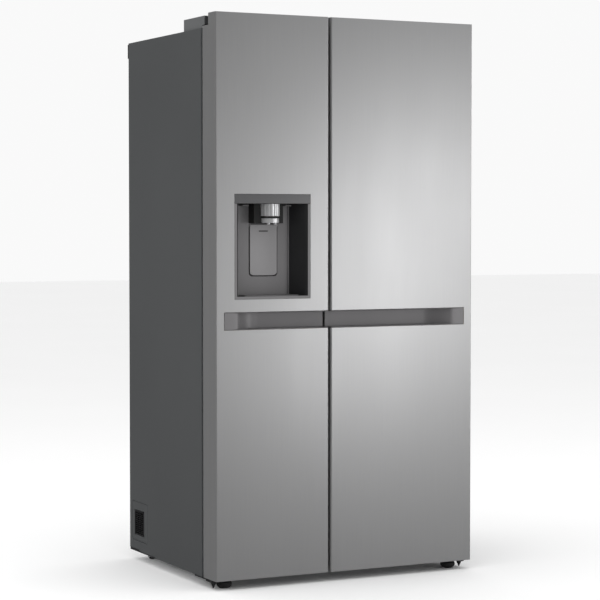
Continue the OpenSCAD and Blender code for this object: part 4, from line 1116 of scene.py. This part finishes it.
strips = gasket_rule()
for side in ("freezer", "fridge"):
    node = side + "_door_gasket"
    low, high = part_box(node)
    centre = (low + high) / 2
    strip = 0.0195
    seal = Piece(side + "_door_bellows")
    strips.into(seal, rubber, Wide=high.x - low.x - strip - 0.0006, Tall=high.z - low.z - strip - 0.0006,
                Strip=strip, High=high.y - low.y - 0.0004, Place=tuple(centre))
    seal.done(side + "_door", "seal_rubber", node)

# %% [markdown]
# Both coils are serpentine tubes through stacks of thin fins. The tube is copied from the CAD node. The fins
# stand a few millimetres apart, far too many to place by hand, so the bar rule sets them.

# %% Coils
def finned(node, finish, name, gap, shrink, slot):
    low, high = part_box(node)
    coil = Piece(name).cad(node, finish, 0.0004)
    count = int((high.x - low.x - 0.060) / gap)
    bars.into(coil, finish, Length=high.z - low.z - shrink, Width=0.0003, Height=high.y - low.y - shrink * 0.6,
              Rounding=0.0001, Count=count,
              Start=((low.x + high.x) / 2 - gap * (count - 1) / 2, (low.y + high.y) / 2, (low.z + high.z) / 2),
              Step=(gap, 0, 0), Turn=(0, math.pi / 2, 0))
    return coil.done("root", slot, node)


finned("evaporator", aluminium, "evaporator_coil", 0.0060, 0.020, "fin_aluminium")
finned("condenser", stove, "condenser_coil", 0.0080, 0.020, "black_steel")

# %% [markdown]
# The fans have five twisted blades round a hub with a soft rim. One blade is a bent grid of faces; it is
# copied about the shaft, as the mould for a real fan is cut from one blade turned five times.

# %% Fans
def fan(name, node, axis, sign):
    low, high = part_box(node)
    centre = (low + high) / 2
    depth = (high[axis] - low[axis]) * 0.92
    radius = (high.z - low.z) / 2 - 0.0012
    piece = Piece(name)
    piece.lathe([(0.0035, -depth / 2 + 0.001), (0.0145, -depth / 2 + 0.001), (0.0158, -depth / 2 + 0.003),
                 (0.0158, depth / 2 - 0.004), (0.0140, depth / 2 - 0.001), (0.006, depth / 2), (0, depth / 2)],
                centre, axis, black, 40)
    turn = (Matrix.Rotation(math.radians(90), 4, "Y"), Matrix.Rotation(math.radians(-90), 4, "X"),
            Matrix.Identity(4))[axis]
    for blade in range(5):
        part = bmesh.new()
        rows = []
        for i in range(9):
            r = 0.014 + (radius - 0.014) * i / 8
            twist = math.radians(40 - 18 * i / 8) * sign
            chord = depth * (0.95 + 0.25 * math.sin(math.pi * i / 8))
            sweep = math.radians(9 * i / 8)
            row = []
            for k in range(7):
                u = k / 6 - 0.5
                row.append(part.verts.new((math.cos(sweep) * r - u * chord * math.cos(twist) * math.sin(sweep) * 0.9,
                                           math.sin(sweep) * r + u * chord * math.cos(twist) * 0.9,
                                           max(-depth / 2, min(depth / 2, u * chord * math.sin(twist)
                                                               + 0.0010 * math.cos(math.pi * u))))))
            rows.append(row)
        for a, b in zip(rows, rows[1:]):
            for k in range(6):
                part.faces.new((a[k], a[k + 1], b[k + 1], b[k]))
        bmesh.ops.solidify(part, geom=part.faces[:], thickness=0.0014)
        bmesh.ops.recalc_face_normals(part, faces=part.faces)
        spin = Matrix.Rotation(2 * math.pi * blade / 5, 4, "Z")
        for vert in part.verts:
            flat = vert.co.xy.length
            if flat > radius:
                vert.co.xy *= radius / flat
            vert.co.z = max(-depth / 2, min(depth / 2, vert.co.z))
        piece.take(part, black, Matrix.Translation(centre) @ turn @ spin)
    return piece.done(node, "black_plastic", node)


fan("evaporator_fan_wheel", "evaporator_fan", 1, 1)
fan("condenser_fan_wheel", "condenser_fan", 0, -1)

# %% [markdown]
# The compressor is two deep-drawn steel shells welded round their middle, on four rubber mounts. The welded
# seam is turned on a lathe profile and added to the CAD copy, which already carries the pot and its feet.

# %% Compressor
pot_low, pot_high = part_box("compressor")
pot = Piece("compressor_pot").cad("compressor", stove, 0.0015, 3)
seam_z = pot_low.z + 0.078
pot.lathe([(0.076, seam_z - 0.0035), (0.0795, seam_z - 0.0030), (0.0815, seam_z - 0.0008),
           (0.0815, seam_z + 0.0012), (0.0790, seam_z + 0.0032), (0.076, seam_z + 0.0036)],
          (pot_high.x - 0.105, (pot_low.y + pot_high.y) / 2, 0), 2, stove, 72)
pot.done("root", "black_steel", "compressor")

# %% [markdown]
# The feet are rubber-soled discs on a stud: a flared sole with a rounded shoulder, and ribs round the rim for
# the fingers that turn it. The rollers are hard rubber tyres on a hub, with a groove beside each rim.

# %% Feet and rollers
for side in ("left", "right"):
    node = side + "_foot"
    low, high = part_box(node)
    centre = (low + high) / 2
    top = high.z - low.z
    foot = Piece(side + "_foot_disc")
    r = (high.x - low.x) / 2
    foot.lathe([(0.0055, top), (r - 0.004, top), (r - 0.0015, top - 0.0012), (r - 0.0002, top - 0.004),
                (r - 0.0002, 0.0105), (r - 0.0012, 0.0080), (r - 0.0055, 0.0026), (r - 0.0085, 0.0004),
                (r - 0.0100, 0.0001), (0.0070, 0.0001), (0.0060, 0.0012), (0, 0.0014)],
               (centre.x, centre.y, low.z), 2, foot_black, 64)
    for k in range(24):
        turn = Matrix.Rotation(2 * math.pi * k / 24, 4, "Z")
        foot.block((r - 0.0014, r - 0.0001), (-0.0009, 0.0009), (0.0112, top - 0.0052), foot_black, 0.0004, 1,
                   Matrix.Translation((centre.x, centre.y, low.z)) @ turn)
    foot.done(node, "foot_rubber", node)
    node = side + "_roller"
    low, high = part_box(node)
    centre = (low + high) / 2
    half_w, r = (high.x - low.x) / 2, (high.z - low.z) / 2
    wheel = Piece(side + "_roller_wheel")
    wheel.lathe([(0.0042, -half_w), (0.0075, -half_w), (0.0078, -half_w + 0.0015), (r - 0.0030, -half_w + 0.0015),
                 (r - 0.0027, -half_w + 0.0002), (r - 0.0008, -half_w + 0.0004), (r, -half_w + 0.0016),
                 (r, half_w - 0.0016), (r - 0.0008, half_w - 0.0004), (r - 0.0027, half_w - 0.0002),
                 (r - 0.0030, half_w - 0.0015), (0.0078, half_w - 0.0015), (0.0075, half_w), (0.0042, half_w),
                 (0.0042, -half_w)], centre, 0, foot_black, 48)
    wheel.done(node, "foot_rubber", node)

# %% [markdown]
# The auger is a steel rod with eight flat paddles, each turned an eighth further round. The cord gland is a
# moulded collar where the mains lead comes out.

# %% Auger and cord gland
Piece("ice_auger_rod").cad("ice_auger", aluminium, 0.0008, 3).done("ice_auger", "fin_aluminium", "ice_auger")
Piece("cord_gland_collar").cad("cord_gland", black, 0.0010, 3).done("root", "black_plastic", "cord_gland")

# %% [markdown]
# Inside, each glass shelf has a moulded trim along its front, and a frosted lens covers the ceiling lamp.
# The lens is ribbed on the inside to spread the light, but its copy here is the CAD node with rounded edges only.

# %% Shelves and lamps
Piece("shelf_glass_panes").cad("glass_shelves", glass, 0.0010, 3).done("root", "shelf_glass", "glass_shelves")
Piece("shelf_front_trims").cad("shelf_trims", liner, 0.0016, 3).done("root", "liner_plastic", "shelf_trims")
Piece("ceiling_lamp_lenses").cad("ceiling_lamps", lamp_lens, 0.0025, 4).done("root", "lamp_lens", "ceiling_lamps")

# %% [markdown]
# The liners are vacuum-formed from one sheet of white plastic each, which leaves every corner softly round.
# The ducts, rails and shelf trims that clip into them are moulded in the same white.

# %% Liners and fittings
for node, body, finish, slot, edge, steps in (
        ("freezer_liner", "root", liner, "liner_plastic", 0.0060, 3),
        ("fridge_liner", "root", liner, "liner_plastic", 0.0060, 3),
        ("air_ducts", "root", liner, "liner_plastic", 0.0010, 2),
        ("shelf_rails", "root", liner, "liner_plastic", 0.0010, 2),
        ("freezer_door_liner", "freezer_door", liner, "liner_plastic", 0.0009, 3),
        ("fridge_door_liner", "fridge_door", liner, "liner_plastic", 0.0009, 3),
        ("ice_maker", "freezer_door", liner, "liner_plastic", 0.0015, 3)):
    Piece(node + "_piece").cad(node, finish, edge, steps).done(body, slot, node)

# %% [markdown]
# Bins, drawers and the ice bucket are injection-moulded in clear styrene. Their rims are rounded over, so the
# edges are done with more steps than elsewhere: the highlight along a clear rim is what shows its shape.

# %% Clear bins and drawers
for node, body in (("freezer_door_bins", "freezer_door"), ("fridge_door_bins", "fridge_door"),
                   ("ice_bucket", "freezer_door"), ("freezer_drawer_upper", "freezer_drawer_upper"),
                   ("freezer_drawer_lower", "freezer_drawer_lower"), ("crisper_upper", "crisper_upper"),
                   ("crisper_lower", "crisper_lower")):
    Piece(node + "_piece").cad(node, styrene, 0.0011, 3).done(body, "clear_plastic", node)

# %% [markdown]
# The insulation stays as the CAD made it, because nothing of it shows. It only gets its foam finish.

# %% Insulation
for node in ("cabinet_insulation", "freezer_door_foam", "fridge_door_foam"):
    nodes[node].data.materials.clear()
    nodes[node].data.materials.append(foam.material)

# %% [markdown]
# A wide pale floor carries the object. It is hidden from mirror rays, because a studio floor sweeps away in
# shade in front of the doors.

# %% Floor
floor_mesh = bpy.data.meshes.new("studio_floor")
floor_mesh.from_pydata([(-30, -30, 0), (30, -30, 0), (30, 30, 0), (-30, 30, 0)], [], [(0, 1, 2, 3)])
floor = bpy.data.objects.new("studio_floor", floor_mesh)
bpy.context.scene.collection.objects.link(floor)
floor_finish = Finish("pale_studio_floor", Specular_IOR_Level=0.1)
floor_cloud = floor_finish.noise(0.8, 2)
floor_finish.colours(floor_cloud, (0.955, 0.955, 0.955), (0.975, 0.975, 0.975))
floor_finish.rough(0.85 + 0.1 * floor_cloud)
floor_mesh.materials.append(floor_finish.material)
floor.visible_glossy = False
